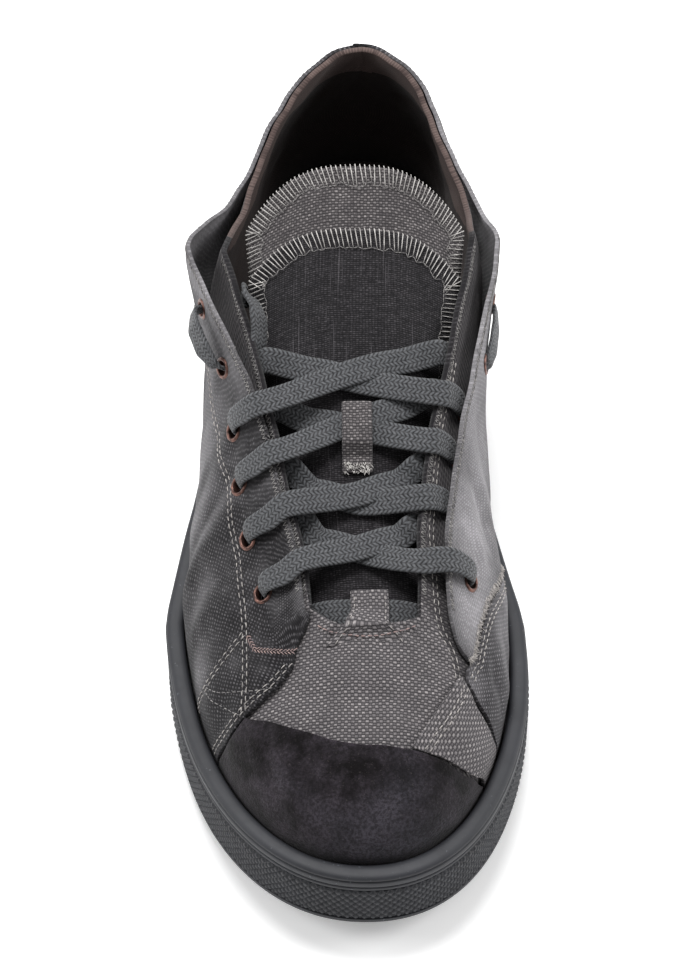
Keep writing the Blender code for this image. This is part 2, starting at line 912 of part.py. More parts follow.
# Each crossing of the laces from the throat up: the stops of the strand that starts at the
# outer eyelet and lies on top, then of the one from the inner eyelet. A stop is on the
# upper (s, h, height in mm) or on the tongue (across, along, height in mm).
crossings = (
    (
        (("skin", -0.281, 0.77, 4.2), ("skin", -0.284, 0.90, 3.6), ("skin", -0.290, 1.0, 3.2),
         ("tongue", 0.06, 0.265, 2.6), ("tongue", 0.45, 0.290, 2.2),
         ("skin", 0.310, 1.0, -3.3), ("skin", 0.311, 0.94, -3.3)),
        (("skin", 0.294, 0.69, 6.4), ("skin", 0.288, 0.84, 6.8), ("skin", 0.281, 1.0, 2.4),
         ("tongue", 0.06, 0.262, 1.35), ("tongue", -0.45, 0.300, 1.35),
         ("skin", -0.317, 1.0, -3.3), ("skin", -0.318, 0.94, -3.3)),
    ),
    (
        (("skin", -0.328, 0.75, 4.2), ("skin", -0.332, 0.88, 3.6), ("skin", -0.338, 1.0, 3.2),
         ("tongue", 0.04, 0.385, 2.6), ("tongue", 0.45, 0.425, 2.2),
         ("skin", 0.366, 1.0, -3.3), ("skin", 0.367, 0.94, -3.3)),
        (("skin", 0.339, 0.86, 1.4), ("skin", 0.335, 0.94, 1.7), ("skin", 0.331, 1.0, 2.3),
         ("tongue", 0.04, 0.382, 1.35), ("tongue", -0.45, 0.420, 1.35),
         ("skin", -0.363, 1.0, -3.3), ("skin", -0.364, 0.94, -3.3)),
    ),
    (
        (("skin", -0.374, 0.76, 4.2), ("skin", -0.380, 0.88, 3.8), ("skin", -0.387, 1.0, 3.4),
         ("tongue", 0.00, 0.555, 2.6), ("tongue", 0.45, 0.600, 2.2),
         ("skin", 0.440, 1.0, -3.3), ("skin", 0.441, 0.94, -3.3)),
        (("skin", 0.392, 0.86, 1.4), ("skin", 0.390, 0.94, 1.7), ("skin", 0.388, 1.0, 2.3),
         ("tongue", 0.00, 0.557, 1.35), ("tongue", -0.45, 0.583, 1.35),
         ("skin", -0.420, 1.0, -3.3), ("skin", -0.421, 0.94, -3.3)),
    ),
    (
        (("skin", -0.422, 0.79, 5.2), ("skin", -0.427, 0.90, 5.6), ("skin", -0.433, 1.0, 5.0),
         ("tongue", 0.00, 0.668, 3.1), ("tongue", 0.45, 0.705, 2.2),
         ("skin", 0.475, 1.0, -3.3), ("skin", 0.476, 0.94, -3.3)),
        (("skin", 0.440, 0.86, 1.4), ("skin", 0.438, 0.94, 1.7), ("skin", 0.435, 1.0, 2.4),
         ("tongue", 0.00, 0.667, 1.9), ("tongue", -0.45, 0.700, 1.35),
         ("skin", -0.465, 1.0, -3.3), ("skin", -0.466, 0.95, -3.3)),
    ),
)
throat_bar = (
    ("tongue", -0.90, 0.130, 1.3), ("tongue", -0.45, 0.125, 1.3), ("tongue", 0.0, 0.120, 1.3),
    ("tongue", 0.45, 0.125, 1.3), ("tongue", 0.90, 0.130, 1.3),
)
outer_pass = (
    ("skin", -0.477, 0.80, 7.4), ("skin", -0.496, 0.80, 10.2), ("skin", -0.518, 0.81, 11.4),
    ("skin", -0.537, 0.82, 10.2),
)
inner_pass = (
    ("skin", 0.492, 0.72, 6.6), ("skin", 0.510, 0.71, 8.4), ("skin", 0.530, 0.72, 8.6),
    ("skin", 0.548, 0.74, 7.4),
)
keeper = (
    ("tongue", 0.03, 0.455, 0.95), ("tongue", 0.03, 0.490, 1.8), ("tongue", 0.03, 0.517, 5.0),
    ("tongue", 0.03, 0.557, 5.4), ("tongue", 0.03, 0.595, 5.0), ("tongue", 0.03, 0.612, 3.6),
)
vamp_tab = (
    ("skin", 0.010, 0.93, 1.0), ("skin", 0.010, 0.97, 1.2), ("skin", 0.010, 1.0, 1.6),
    ("tongue", 0.06, 0.120, 4.2), ("tongue", 0.06, 0.165, 3.9),
)

# The lace's outer end, tucked inside from the top eyelet down between facing and tongue.
end_route = (
    (-36.3, 21.5, 74.0),
    (-35.2, 24.0, 79.0),
    (-33.4, 23.8, 83.2),
    (-30.6, 20.5, 86.0),
    (-28.6, 15.5, 86.0),
    (-27.9, 9.5, 82.9),
    (-28.4, 5.5, 80.7),
    (-30.2, 3.2, 77.2),
    (-31.8, 0.8, 72.9),
    (-32.6, -2.8, 68.4),
    (-33.2, -7.0, 63.0),
    (-33.6, -11.0, 57.5),
)


def placed(stops):
    """Each stop, and points between those of one kind, with the way that the lace faces."""
    found = []
    for k, (kind, *at) in enumerate(stops):
        put = on_skin if kind == "skin" else on_tongue
        found.append(put(*at))
        if k + 1 < len(stops) and stops[k + 1][0] == kind:
            after = stops[k + 1][1:]
            found += [put(*[lerp(a, b, t) for a, b in zip(at, after)]) for t in (0.33, 0.67)]
    return found


def laces():
    """Four crossings and the bar at the throat, and the passes outside the top eyelets."""
    size = lace_width, lace_thickness, 15, webbing
    for number, (upper_strand, lower_strand) in enumerate(crossings, 1):
        made = ribbon(f"lace_crossing_{number}", placed(upper_strand), *size)
        below = ribbon(f"lace_below_{number}", placed(lower_strand), *size, cutters)
        boolean(made, below, "UNION")
    ribbon("lace_bar", placed(throat_bar), *size)
    ribbon("lace_pass_outer", placed(outer_pass), lace_width, lace_thickness, 8, webbing)
    ribbon("lace_pass_inner", placed(inner_pass), lace_width, lace_thickness, 8, webbing)


def lace_end():
    """The tucked end as a plain tube along its route."""
    points = [Vector(point) * mm + Vector((side_shift, 0, 0)) for point in end_route]
    lengths = [0.0]
    for before, after in zip(points, points[1:]):
        lengths.append(lengths[-1] + (after - before).length)
    rows = [(at, *point) for at, point in zip(lengths, points)]
    line = bpy.data.curves.new("lace_end", "CURVE")
    line.dimensions = "3D"
    line.bevel_depth = end_tube / 2
    line.bevel_resolution = 2
    line.use_fill_caps = True
    spline = line.splines.new("POLY")
    spline.points.add(end_points - 1)
    for point, at in zip(spline.points, steps(0, lengths[-1], end_points - 1)):
        point.co = (*through(rows, at), 1)
    line.materials.append(webbing)
    sneaker.objects.link(bpy.data.objects.new("lace_end", line))


holes = eyelet_holes()
cup_sole()
toe_bumper()
loft("insole", insole_section, stations, lining)
boolean(upper(), holes, "DIFFERENCE")
overlay("toe_cap", lines_of(toe_cap_place, 16, 7), suede)
boolean(outer_quarter(), holes, "DIFFERENCE")
boolean(inner_quarter(), holes, "DIFFERENCE")
overlay("side_panel", lines_of(side_panel_place, 7, 6), dark_canvas)
overlay("vamp_patch", lines_of(patch_place, 6, 8), canvas)
tongue("front_tongue", front_tongue_rows, dark_canvas)
tongue("rear_tongue", rear_tongue_rows, canvas)
eyelets()
laces()
lace_end()
ribbon("tongue_keeper", placed(keeper), keeper_width, overlay_wall, 12, dark_canvas)
ribbon("vamp_tab", placed(vamp_tab), tab_width, overlay_wall, 12, canvas)
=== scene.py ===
import math

import bmesh
import bpy
import numpy as np
from mathutils import Matrix, Vector


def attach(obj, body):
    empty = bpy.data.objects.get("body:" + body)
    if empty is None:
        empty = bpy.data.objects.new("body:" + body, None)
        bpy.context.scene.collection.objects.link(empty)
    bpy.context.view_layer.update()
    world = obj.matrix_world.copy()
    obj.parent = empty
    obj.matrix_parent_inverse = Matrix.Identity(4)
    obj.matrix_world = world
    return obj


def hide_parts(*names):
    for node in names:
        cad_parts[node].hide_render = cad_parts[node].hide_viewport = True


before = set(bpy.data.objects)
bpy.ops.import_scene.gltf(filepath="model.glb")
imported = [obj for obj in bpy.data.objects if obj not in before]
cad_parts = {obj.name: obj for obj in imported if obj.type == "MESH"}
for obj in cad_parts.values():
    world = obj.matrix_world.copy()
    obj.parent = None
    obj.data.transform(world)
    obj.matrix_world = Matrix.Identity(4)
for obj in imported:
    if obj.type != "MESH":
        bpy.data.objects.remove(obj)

print("sneaker: frame loaded")

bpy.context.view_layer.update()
mm = 0.001
chance = np.random.default_rng(11)


def inScene(name, data):
    made = bpy.data.objects.new(name, data)
    bpy.context.scene.collection.objects.link(made)
    return made


def aimed(thing, place, aim):
    thing.location = place
    thing.rotation_euler = (Vector(aim) - Vector(place)).to_track_quat("-Z", "Y").to_euler()


# Camera first: high over the toe, with a long lens.
view = {
    "aim": (0.0018, 0.0194, 0.0),
    "place": (0.0018, -0.658, 0.867),
    "lens": 126.1,
    "sensor": 36,
    "shiftX": -0.0027,
    "shiftY": -0.0132,
    "near": 0.05,
}

cameraData = bpy.data.cameras.new("camera")
cameraData.lens = view["lens"]
cameraData.sensor_width = view["sensor"]
cameraData.shift_x = view["shiftX"]
cameraData.shift_y = view["shiftY"]
cameraData.clip_start = view["near"]
camera = inScene("camera", cameraData)
aimed(camera, view["place"], view["aim"])
bpy.context.scene.camera = camera


# Sizes and section tables of the shoe, as the frame has them.
shoe = {
    "length": 300 * mm,
    "ball": 109 * mm,
    "heel": 78 * mm,
    "sideShift": 1.8 * mm,
    "toeRound": 94 * mm,
    "heelRound": 47 * mm,
    "toePower": 2.15,
    "heelPower": 2.3,
    "rim": 26 * mm,
    "rimWidth": 6 * mm,
    "rimRound": 1.2 * mm,
    "floor": 10 * mm,
    "instep": 88 * mm,
    "collar": 72 * mm,
    "wall": 1.8 * mm,
    "overlay": 1.2 * mm,
    "gap": 0.55 * mm,
    "flap": 8 * mm,
    "tongueHalf": 33 * mm,
    "tongueDrop": 12 * mm,
    "tongueCorner": 8 * mm,
    "heelShare": 0.2,
    "toeShare": 0.65,
    "throat": 0.25,
    "facing": 0.58,
    "flapRoot": 0.45,
    "bumperEnd": 0.325,
    "backSeam": 0.9997,
    "overlayFoot": -0.4,
}
upperInset = shoe["rimWidth"] + 0.6 * mm + shoe["overlay"] + shoe["gap"]
heelPole = shoe["length"] / 2 - shoe["heelRound"]
toePole = shoe["toeRound"] - shoe["length"] / 2

centreLine = (
    (0.00, 0.036),
    (0.12, 0.012),
    (0.23, -0.004),
    (0.32, -0.022),
    (0.45, -0.034),
    (0.60, -0.036),
    (0.80, -0.008),
    (1.00, 0.025),
)

rimLine = (
    (0.00, 1.19),
    (0.10, 1.10),
    (0.22, 0.99),
    (0.34, 0.96),
    (0.55, 1.02),
    (0.80, 1.12),
    (1.00, 1.22),
)

floorLine = (
    (0.00, 1.55),
    (0.12, 1.15),
    (0.30, 0.92),
    (0.55, 1.20),
    (0.80, 1.55),
    (1.00, 1.60),
)

waistLine = (
    (0.00, 0.00),
    (0.30, 0.03),
    (0.50, 0.16),
    (0.67, 0.37),
    (0.80, 0.63),
    (0.91, 0.85),
    (0.96, 0.95),
    (1.00, 1.00),
)

outerCollar = (
    (-1.00, 0.045, 0.4700, 1.000),
    (-0.985, -0.001, 0.4693, 0.998),
    (-0.97, -0.047, 0.4671, 0.995),
    (-0.95, -0.105, 0.4620, 0.990),
    (-0.93, -0.165, 0.4535, 0.985),
    (-0.87, -0.318, 0.417, 0.972),
    (-0.80, -0.445, 0.375, 0.944),
    (-0.73, -0.560, 0.313, 0.917),
    (-0.66, -0.640, 0.240, 0.972),
    (-0.61, -0.705, 0.172, 1.110),
    (-0.58, -0.733, 0.127, 1.222),
)

outerFacing = (
    (-0.58, -0.733, 0.127, 1.000),
    (-0.52, -0.627, 0.057, 0.989),
    (-0.46, -0.524, -0.009, 0.943),
    (-0.40, -0.436, -0.075, 0.892),
    (-0.34, -0.355, -0.143, 0.830),
    (-0.295, -0.280, -0.193, 0.778),
    (-0.25, -0.225, -0.262, 0.722),
)

throatBase = (
    (-0.25, -0.225, -0.262, 0.722),
    (-0.12, -0.060, -0.278, 0.718),
    (0.00, 0.070, -0.279, 0.718),
    (0.12, 0.210, -0.277, 0.718),
    (0.25, 0.362, -0.270, 0.716),
)

innerFacing = (
    (0.25, 0.362, -0.270, 0.716),
    (0.295, 0.360, -0.195, 0.784),
    (0.34, 0.390, -0.140, 0.830),
    (0.40, 0.435, -0.080, 0.886),
    (0.46, 0.520, -0.014, 0.943),
    (0.52, 0.608, 0.066, 0.989),
    (0.58, 0.685, 0.148, 1.000),
)

innerCollar = (
    (0.58, 0.685, 0.148, 1.222),
    (0.61, 0.680, 0.182, 1.120),
    (0.66, 0.675, 0.240, 0.975),
    (0.73, 0.585, 0.313, 0.917),
    (0.80, 0.475, 0.375, 0.944),
    (0.87, 0.395, 0.417, 0.972),
    (0.93, 0.250, 0.4535, 0.985),
    (0.95, 0.195, 0.4620, 0.990),
    (0.97, 0.137, 0.4671, 0.995),
    (0.985, 0.091, 0.4693, 0.998),
    (1.00, 0.045, 0.4700, 1.000),
)

sectionPull = (
    (0.00, 0.00, 0.70, 0.84, 0.35),
    (0.12, 0.02, 0.68, 0.74, 0.34),
    (0.25, 0.07, 0.63, 0.42, 0.30),
    (0.34, 0.13, 0.61, 0.36, 0.33),
    (0.42, 0.25, 0.59, 0.32, 0.36),
    (0.50, 0.37, 0.58, 0.24, 0.43),
    (0.58, 0.40, 0.57, 0.17, 0.50),
    (0.66, 0.30, 0.52, 0.11, 0.45),
    (0.75, 0.19, 0.47, 0.07, 0.43),
    (0.88, 0.14, 0.47, 0.10, 0.43),
    (1.00, 0.14, 0.50, 0.08, 0.43),
)

outerFlare = (
    (0.00, 0.00),
    (0.36, 0.00),
    (0.42, 0.14),
    (0.46, 0.34),
    (0.50, 0.62),
    (0.54, 0.92),
    (0.58, 1.10),
    (0.62, 0.80),
    (0.68, 0.25),
    (0.74, 0.00),
    (1.00, 0.00),
)

innerFlare = (
    (0.00, 0.06),
    (0.24, 0.10),
    (0.27, 0.34),
    (0.30, 0.46),
    (0.40, 0.50),
    (0.50, 0.56),
    (0.58, 0.66),
    (0.63, 0.36),
    (0.70, 0.06),
    (0.74, 0.00),
    (1.00, 0.00),
)

outerFront = (
    (-0.40, -0.2170),
    (0.00, -0.2165),
    (0.26, -0.2025),
    (0.40, -0.1945),
    (0.55, -0.1795),
    (0.745, -0.1620),
    (0.834, -0.1840),
    (0.893, -0.1940),
    (1.00, -0.2300),
)

capTop = (
    (-0.1920, 0.400),
    (-0.1420, 0.509),
    (-0.0650, 0.558),
    (0.0090, 0.555),
    (0.0620, 0.507),
    (0.1130, 0.385),
    (0.1600, 0.180),
)

innerTop = (
    (0.238, 0.665),
    (0.264, 0.820),
    (0.298, 0.865),
    (0.351, 0.865),
    (0.400, 0.860),
    (0.445, 0.870),
    (0.481, 0.885),
    (0.520, 0.885),
    (0.553, 0.895),
    (0.580, 0.935),
    (0.620, 0.975),
    (0.700, 0.980),
    (1.000, 0.980),
)

innerFold = (
    (0.238, 0.600),
    (0.278, 0.530),
    (0.310, 0.450),
    (0.345, 0.330),
    (0.380, 0.200),
    (0.415, 0.060),
    (0.435, -0.200),
    (0.450, -0.400),
    (1.000, -0.400),
)

outerTop = (
    (0.160, 0.975),
    (0.440, 0.970),
    (0.480, 0.945),
    (0.540, 0.955),
    (0.580, 0.975),
    (0.700, 0.980),
    (1.000, 0.980),
)

panelTop = (
    (0.207, 0.550),
    (0.222, 0.585),
    (0.238, 0.580),
    (0.278, 0.512),
    (0.310, 0.432),
    (0.345, 0.312),
    (0.380, 0.182),
    (0.412, 0.045),
)

patchSides = (
    (0.00, 0.1890, -0.400, 0.2255, -0.400),
    (0.20, 0.1885, 0.000, 0.2250, 0.000),
    (0.40, 0.1660, 0.170, 0.2160, 0.194),
    (0.70, 0.1165, 0.390, 0.2060, 0.381),
    (1.00, 0.0650, 0.515, 0.1990, 0.605),
)

eyeletsOuter = (
    (-0.280, 0.720, 1),
    (-0.327, 0.702, 1),
    (-0.372, 0.712, 1),
    (-0.420, 0.741, 1),
    (-0.477, 0.790, 1),
    (-0.537, 0.820, 1),
)

eyeletsInner = (
    (0.296, 0.640, 1),
    (0.345, 0.745, 0),
    (0.392, 0.745, 0),
    (0.440, 0.745, 0),
    (0.492, 0.720, 1),
    (0.548, 0.740, 1),
)

frontTongueRows = (
    (0.00, -0.307, 0.600, 0.50, 0.12, 0.45),
    (0.07, -0.280, 0.652, 0.55, 0.12, 0.55),
    (0.18, -0.233, 0.702, 0.68, 0.10, 0.80),
    (0.38, -0.150, 0.782, 0.84, 0.03, 1.12),
    (0.52, -0.090, 0.846, 0.87, 0.015, 1.15),
    (0.67, -0.027, 0.928, 0.88, 0.01, 1.15),
    (0.84, 0.047, 1.034, 0.91, 0.01, 1.15),
    (1.00, 0.117, 1.142, 0.97, 0.02, 1.25),
)

rearTongueRows = (
    (0.00, -0.307, 0.556, 0.50, 0.12, 0.45),
    (0.07, -0.280, 0.608, 0.55, 0.12, 0.55),
    (0.17, -0.233, 0.661, 0.68, 0.10, 0.83),
    (0.34, -0.150, 0.743, 0.84, 0.03, 1.17),
    (0.46, -0.090, 0.808, 0.87, 0.015, 1.18),
    (0.59, -0.027, 0.890, 0.88, 0.01, 1.18),
    (0.74, 0.047, 0.996, 0.91, 0.01, 1.19),
    (0.88, 0.117, 1.105, 0.96, 0.02, 1.38),
    (1.00, 0.177, 1.240, 1.00, 0.02, 1.75),
)


def lerp(a, b, t):
    return a + (b - a) * t


def smooth(t):
    t = np.clip(t, 0, 1)
    return t * t * (3 - 2 * t)


def through(rows, t):
    # the smooth curve through rows of (place, value, ...), for any array of places
    table = np.array(rows, dtype=float)
    places, values = table[:, 0], table[:, 1:]
    gaps = np.diff(places)
    secants = np.diff(values, axis=0) / gaps[:, None]
    slopes = np.zeros_like(values)
    slopes[0], slopes[-1] = secants[0], secants[-1]
    before, after = secants[:-1], secants[1:]
    near = (2 * gaps[1:] + gaps[:-1])[:, None]
    far = (gaps[1:] + 2 * gaps[:-1])[:, None]
    sameWay = before * after > 0
    low, high = np.where(sameWay, before, 1), np.where(sameWay, after, 1)
    slopes[1:-1] = np.where(sameWay, (near + far) / (near / low + far / high), 0)
    t = np.clip(np.asarray(t, dtype=float), places[0], places[-1])
    i = np.clip(np.searchsorted(places, t, side="right") - 1, 0, len(gaps) - 1)
    u = ((t - places[i]) / gaps[i])[..., None]
    step = gaps[i][..., None]
    found = (
        (1 + 2 * u) * (1 - u) ** 2 * values[i]
        + u * u * (3 - 2 * u) * values[i + 1]
        + u * (1 - u) ** 2 * step * slopes[i]
        - u * u * (1 - u) * step * slopes[i + 1]
    )
    return found if values.shape[1] > 1 else found[..., 0]


def fromToe(y):
    return np.clip(y / shoe["length"] + 0.5, 0, 1)


def rimZ(y):
    return through(rimLine, fromToe(y)) * shoe["rim"]


def floorZ(y):
    return through(floorLine, fromToe(y)) * shoe["floor"]


def groundZ(y):
    d = fromToe(y)
    toe = 7 * mm * np.clip((0.26 - d) / 0.26, 0, 1) ** 2
    arch = 2.5 * mm * smooth((d - 0.40) / 0.12) * smooth((0.70 - d) / 0.12)
    heel = 1.5 * mm * np.clip((d - 0.94) / 0.06, 0, 1) ** 2
    return toe + arch + heel


def outline(s, inset=0.0):
    s = np.asarray(s, dtype=float)
    side = np.where(s < 0, -1.0, 1.0)
    place = 1.0 - np.abs(s)
    heelTurn = np.clip(place / shoe["heelShare"], 0, 1) * math.pi / 2
    toeTurn = np.clip((place - shoe["toeShare"]) / (1 - shoe["toeShare"]), 0, 1) * math.pi / 2
    heelHalf = (shoe["heel"] / 2 - inset) * np.sin(heelTurn) ** (2 / shoe["heelPower"])
    heelCos, toeCos = np.clip(np.cos(heelTurn), 0, 1), np.clip(np.cos(toeTurn), 0, 1)
    heelY = heelPole + (shoe["heelRound"] - inset) * heelCos ** (2 / shoe["heelPower"])
    toeHalf = (shoe["ball"] / 2 - inset) * toeCos ** (2 / shoe["toePower"])
    toeY = toePole - (shoe["toeRound"] - inset) * np.sin(toeTurn) ** (2 / shoe["toePower"])
    t = (place - shoe["heelShare"]) / (shoe["toeShare"] - shoe["heelShare"])
    midHalf = lerp(shoe["heel"], shoe["ball"], through(waistLine, t)) / 2 - inset
    midY = lerp(heelPole, toePole, t)
    atHeel, atToe = place < shoe["heelShare"], place > shoe["toeShare"]
    half = np.where(atHeel, heelHalf, np.where(atToe, toeHalf, midHalf))
    y = np.where(atHeel, heelY, np.where(atToe, toeY, midY))
    x = side * half + through(centreLine, fromToe(y)) * shoe["ball"] + shoe["sideShift"]
    return x, y


def outwardAt(s):
    step = 0.004
    x0, y0 = outline(np.maximum(s - step, -1))
    x1, y1 = outline(np.minimum(s + step, 1))
    length = np.hypot(x1 - x0, y1 - y0)
    return np.stack([(y1 - y0) / length, -(x1 - x0) / length, 0 * length], axis=-1)


def edgeAt(s):
    found = np.zeros((len(s), 3))
    runs = (
        (outerCollar, s < -shoe["facing"], shoe["collar"]),
        (outerFacing, (s >= -shoe["facing"]) & (s < -shoe["throat"]), shoe["instep"]),
        (throatBase, np.abs(s) <= shoe["throat"], shoe["instep"]),
        (innerFacing, (s > shoe["throat"]) & (s <= shoe["facing"]), shoe["instep"]),
        (innerCollar, s > shoe["facing"], shoe["collar"]),
    )
    for rows, mask, height in runs:
        xyz = through(rows, s[mask])
        found[mask] = xyz * (shoe["ball"] / 2, shoe["length"], height) + (shoe["sideShift"], 0, 0)
    return found


def sectionTable():
    # foot, top edge and the two pulls of each section round the foot
    s = np.linspace(-1, 1, 2401)
    x, y = outline(s, upperInset)
    foot = np.stack([x, y, rimZ(y) - shoe["rimRound"] / 2], axis=-1)
    away, lift, inward, rise = through(sectionPull, np.abs(s)).T
    out, up = outwardAt(s), np.array([0, 0, 1.0])
    start = (out * away[:, None] + up * lift[:, None]) * shoe["instep"]
    finish = (out * -inward[:, None] + up * rise[:, None]) * shoe["instep"]
    low = floorZ(y)[:, None] + 0.3 * mm
    return s, np.concatenate([foot, edgeAt(s), start, finish, low], axis=1)


sectionS, sectionRows = sectionTable()


def skin(s, h):
    s, h = np.broadcast_arrays(np.asarray(s, float), np.asarray(h, float))
    rows = np.stack([np.interp(s, sectionS, column) for column in sectionRows.T], axis=-1)
    foot, top, start, finish = rows[..., 0:3], rows[..., 3:6], rows[..., 6:9], rows[..., 9:12]
    t = np.clip(h, 0, 1)[..., None]
    point = (
        foot * (1 + 2 * t) * (1 - t) ** 2
        + top * t * t * (3 - 2 * t)
        + start * t * (1 - t) ** 2
        - finish * t * t * (1 - t)
    )
    point[..., 2] = np.where(h < 0, lerp(foot[..., 2], rows[..., 12], np.clip(-h, 0, 1)), point[..., 2])
    return point


def unit(v):
    return v / np.maximum(np.linalg.norm(v, axis=-1, keepdims=True), 1e-12)


def skinNormal(s, h):
    step = 0.01
    h = np.clip(h, 0, 1)
    up = skin(s, np.minimum(h + step, 1)) - skin(s, np.maximum(h - step, 0))
    around = skin(np.minimum(s + step, 1), h) - skin(np.maximum(s - step, -1), h)
    return unit(np.cross(around, up))


# Creases of the worn cloth: from (s, h) to (s, h), depth in mm (a ridge above 0, a trough
# below) and half width in mm.
creases = (
    (-0.315, 0.18, -0.300, 0.60, 0.75, 3.2),
    (-0.335, 0.15, -0.325, 0.62, -0.85, 3.0),
    (-0.360, 0.12, -0.352, 0.66, 0.80, 3.4),
    (-0.385, 0.20, -0.380, 0.64, -0.75, 3.2),
    (-0.415, 0.14, -0.405, 0.62, 0.65, 4.2),
    (-0.455, 0.25, -0.440, 0.66, -0.60, 4.0),
    (-0.262, 0.10, -0.240, 0.46, 0.45, 3.5),
    (-0.235, 0.06, -0.212, 0.34, -0.50, 3.0),
    (-0.160, 0.60, -0.060, 0.74, -0.40, 4.0),
    (-0.060, 0.74, 0.060, 0.70, -0.45, 4.0),
    (-0.100, 0.82, 0.080, 0.84, 0.40, 4.5),
    (0.135, 0.56, 0.215, 0.40, -0.45, 3.4),
    (0.250, 0.16, 0.262, 0.40, -0.70, 3.0),
    (0.272, 0.10, 0.285, 0.36, 0.60, 3.4),
    (0.300, 0.08, 0.310, 0.30, -0.55, 3.4),
    (0.330, 0.52, 0.352, 0.78, 0.60, 3.0),
    (0.356, 0.40, 0.380, 0.74, -0.75, 3.0),
    (0.384, 0.36, 0.408, 0.74, 0.70, 3.2),
    (0.415, 0.24, 0.440, 0.70, -0.65, 3.6),
    (0.450, 0.20, 0.470, 0.66, 0.55, 4.0),
    (-0.600, 0.30, -0.520, 0.62, -0.55, 5.5),
    (-0.680, 0.44, -0.600, 0.74, 0.50, 5.0),
    (0.600, 0.30, 0.530, 0.62, -0.55, 5.5),
    (0.680, 0.44, 0.610, 0.76, 0.50, 5.0),
    (-0.880, 0.20, -0.780, 0.34, -0.55, 5.0),
    (0.880, 0.22, 0.790, 0.36, -0.55, 5.0),
    (-0.960, 0.56, -0.860, 0.62, 0.40, 5.0),
    (0.960, 0.54, 0.860, 0.62, 0.40, 5.0),
)


def relief(s, h):
    # all layers share it, so they stay on each other
    s, h = np.broadcast_arrays(np.asarray(s, float), np.asarray(h, float))
    acrossScale, upScale = 330.0, 78.0
    total = np.zeros(s.shape)
    for s0, h0, s1, h1, depth, width in creases:
        ax, ay = s0 * acrossScale, h0 * upScale
        bx, by = s1 * acrossScale - ax, h1 * upScale - ay
        px, py = s * acrossScale - ax, h * upScale - ay
        along = (px * bx + py * by) / (bx * bx + by * by)
        bend = 1.1 * np.sin(along * 5.1 + s0 * 40)
        off = (px * by - py * bx) / math.hypot(bx, by) + bend
        fade = smooth((along + 0.25) / 0.45) * smooth((1.25 - along) / 0.45)
        total += depth * fade * np.exp(-((off / width) ** 2))
    waves = ((0.16, 71, 7, 0), (0.12, 43, -13, 2), (0.10, 118, 19, 1))
    wave = sum(size * np.sin(s * around + h * up + phase) for size, around, up, phase in waves)
    return (total + wave * smooth(h / 0.2)) * smooth(h / 0.10) * mm


def flare(s, h):
    outer = through(outerFlare, np.abs(s))
    inner = through(innerFlare, np.abs(s))
    root = shoe["flapRoot"]
    return np.where(s < 0, outer, inner) * shoe["flap"] * smooth((h - root) / (1 - root))


def onSkin(s, h, lift):
    # lift in metres over the upper's outer face, creases included
    lift = np.asarray(lift, float) + relief(s, h)
    return skin(s, h) + skinNormal(s, h) * lift[..., None]


def onQuarter(s, h, lift=0.0):
    return onSkin(s, h, shoe["gap"] + shoe["overlay"] + flare(s, h) + lift)


def tonguePoint(rows, u, v):
    y, z, half, centre, drop = np.moveaxis(through(rows, v), -1, 0)
    x = (centre + u * half) * shoe["tongueHalf"] + shoe["sideShift"]
    y = y * shoe["length"] - shoe["tongueCorner"] * np.abs(u) ** 3.5 * v**6
    z = z * shoe["instep"] - drop * shoe["tongueDrop"] * np.abs(u) ** 2.6
    return np.stack([x, y, z + 0 * x], axis=-1)


def overTongue(rows, u, v, lift):
    u, v = np.broadcast_arrays(np.asarray(u, float), np.asarray(v, float))
    step = 0.02
    across = tonguePoint(rows, u + step, v) - tonguePoint(rows, u - step, v)
    up = tonguePoint(rows, u, np.minimum(v + step, 1)) - tonguePoint(rows, u, np.maximum(v - step, 0))
    normal = unit(np.cross(across, up))
    return tonguePoint(rows, u, v) + normal * np.asarray(lift, float)[..., None], normal


print("sneaker: sections worked out")


# Materials: each is a table of nodes and a few inputs of the shader.
def linear(hexColour):
    parts = [int(hexColour[k : k + 2], 16) / 255 for k in (1, 3, 5)]
    parts = [c / 12.92 if c <= 0.04045 else ((c + 0.055) / 1.055) ** 2.4 for c in parts]
    return (*parts, 1.0)


def setInputs(tree, node, inputs, known):
    # a text names an earlier node, which is linked; any other value is set
    for key, value in inputs.items():
        if isinstance(value, str):
            tree.links.new(known[value], node.inputs[key])
        else:
            node.inputs[key].default_value = value


def addNode(tree, known, name, kind, inputs, output=0, **settings):
    # inputs by name, or in their order; the chosen output is known by the node's name
    node = tree.nodes.new("ShaderNode" + kind)
    for key, value in settings.items():
        setattr(node, key, value)
    inOrder = inputs if isinstance(inputs, dict) else dict(enumerate(inputs))
    setInputs(tree, node, inOrder, known)
    known[name] = node.outputs[output]


def newMaterial(name, rows, surface):
    # rows: name, kind, inputs and settings of each node
    made = bpy.data.materials.new(name)
    made.use_nodes = True
    tree, known = made.node_tree, {}
    for key, kind, inputs, settings in rows:
        addNode(tree, known, key, kind, inputs, **settings)
    setInputs(tree, tree.nodes["Principled BSDF"], surface, known)
    return made


multiply, multiplyAdd, divide, sine, absolute, power, pingpong = (
    {"operation": operation}
    for operation in ("MULTIPLY", "MULTIPLY_ADD", "DIVIDE", "SINE", "ABSOLUTE", "POWER", "PINGPONG")
)
mixed = {"data_type": "RGBA", "output": 2}
objectPlace = ("place", "TexCoord", (), {"output": "Object"})
fadeAndHighlightRow = ("fadeAndHighlight", "Attribute", (), {"attribute_name": "fadeAndHighlight", "output": "Fac"})
uvRows = (
    ("uv", "UVMap", (), {"uv_map": "cloth"}),
    ("x", "SeparateXYZ", ("uv",), {"output": "X"}),
    ("y", "SeparateXYZ", ("uv",), {"output": "Y"}),
)



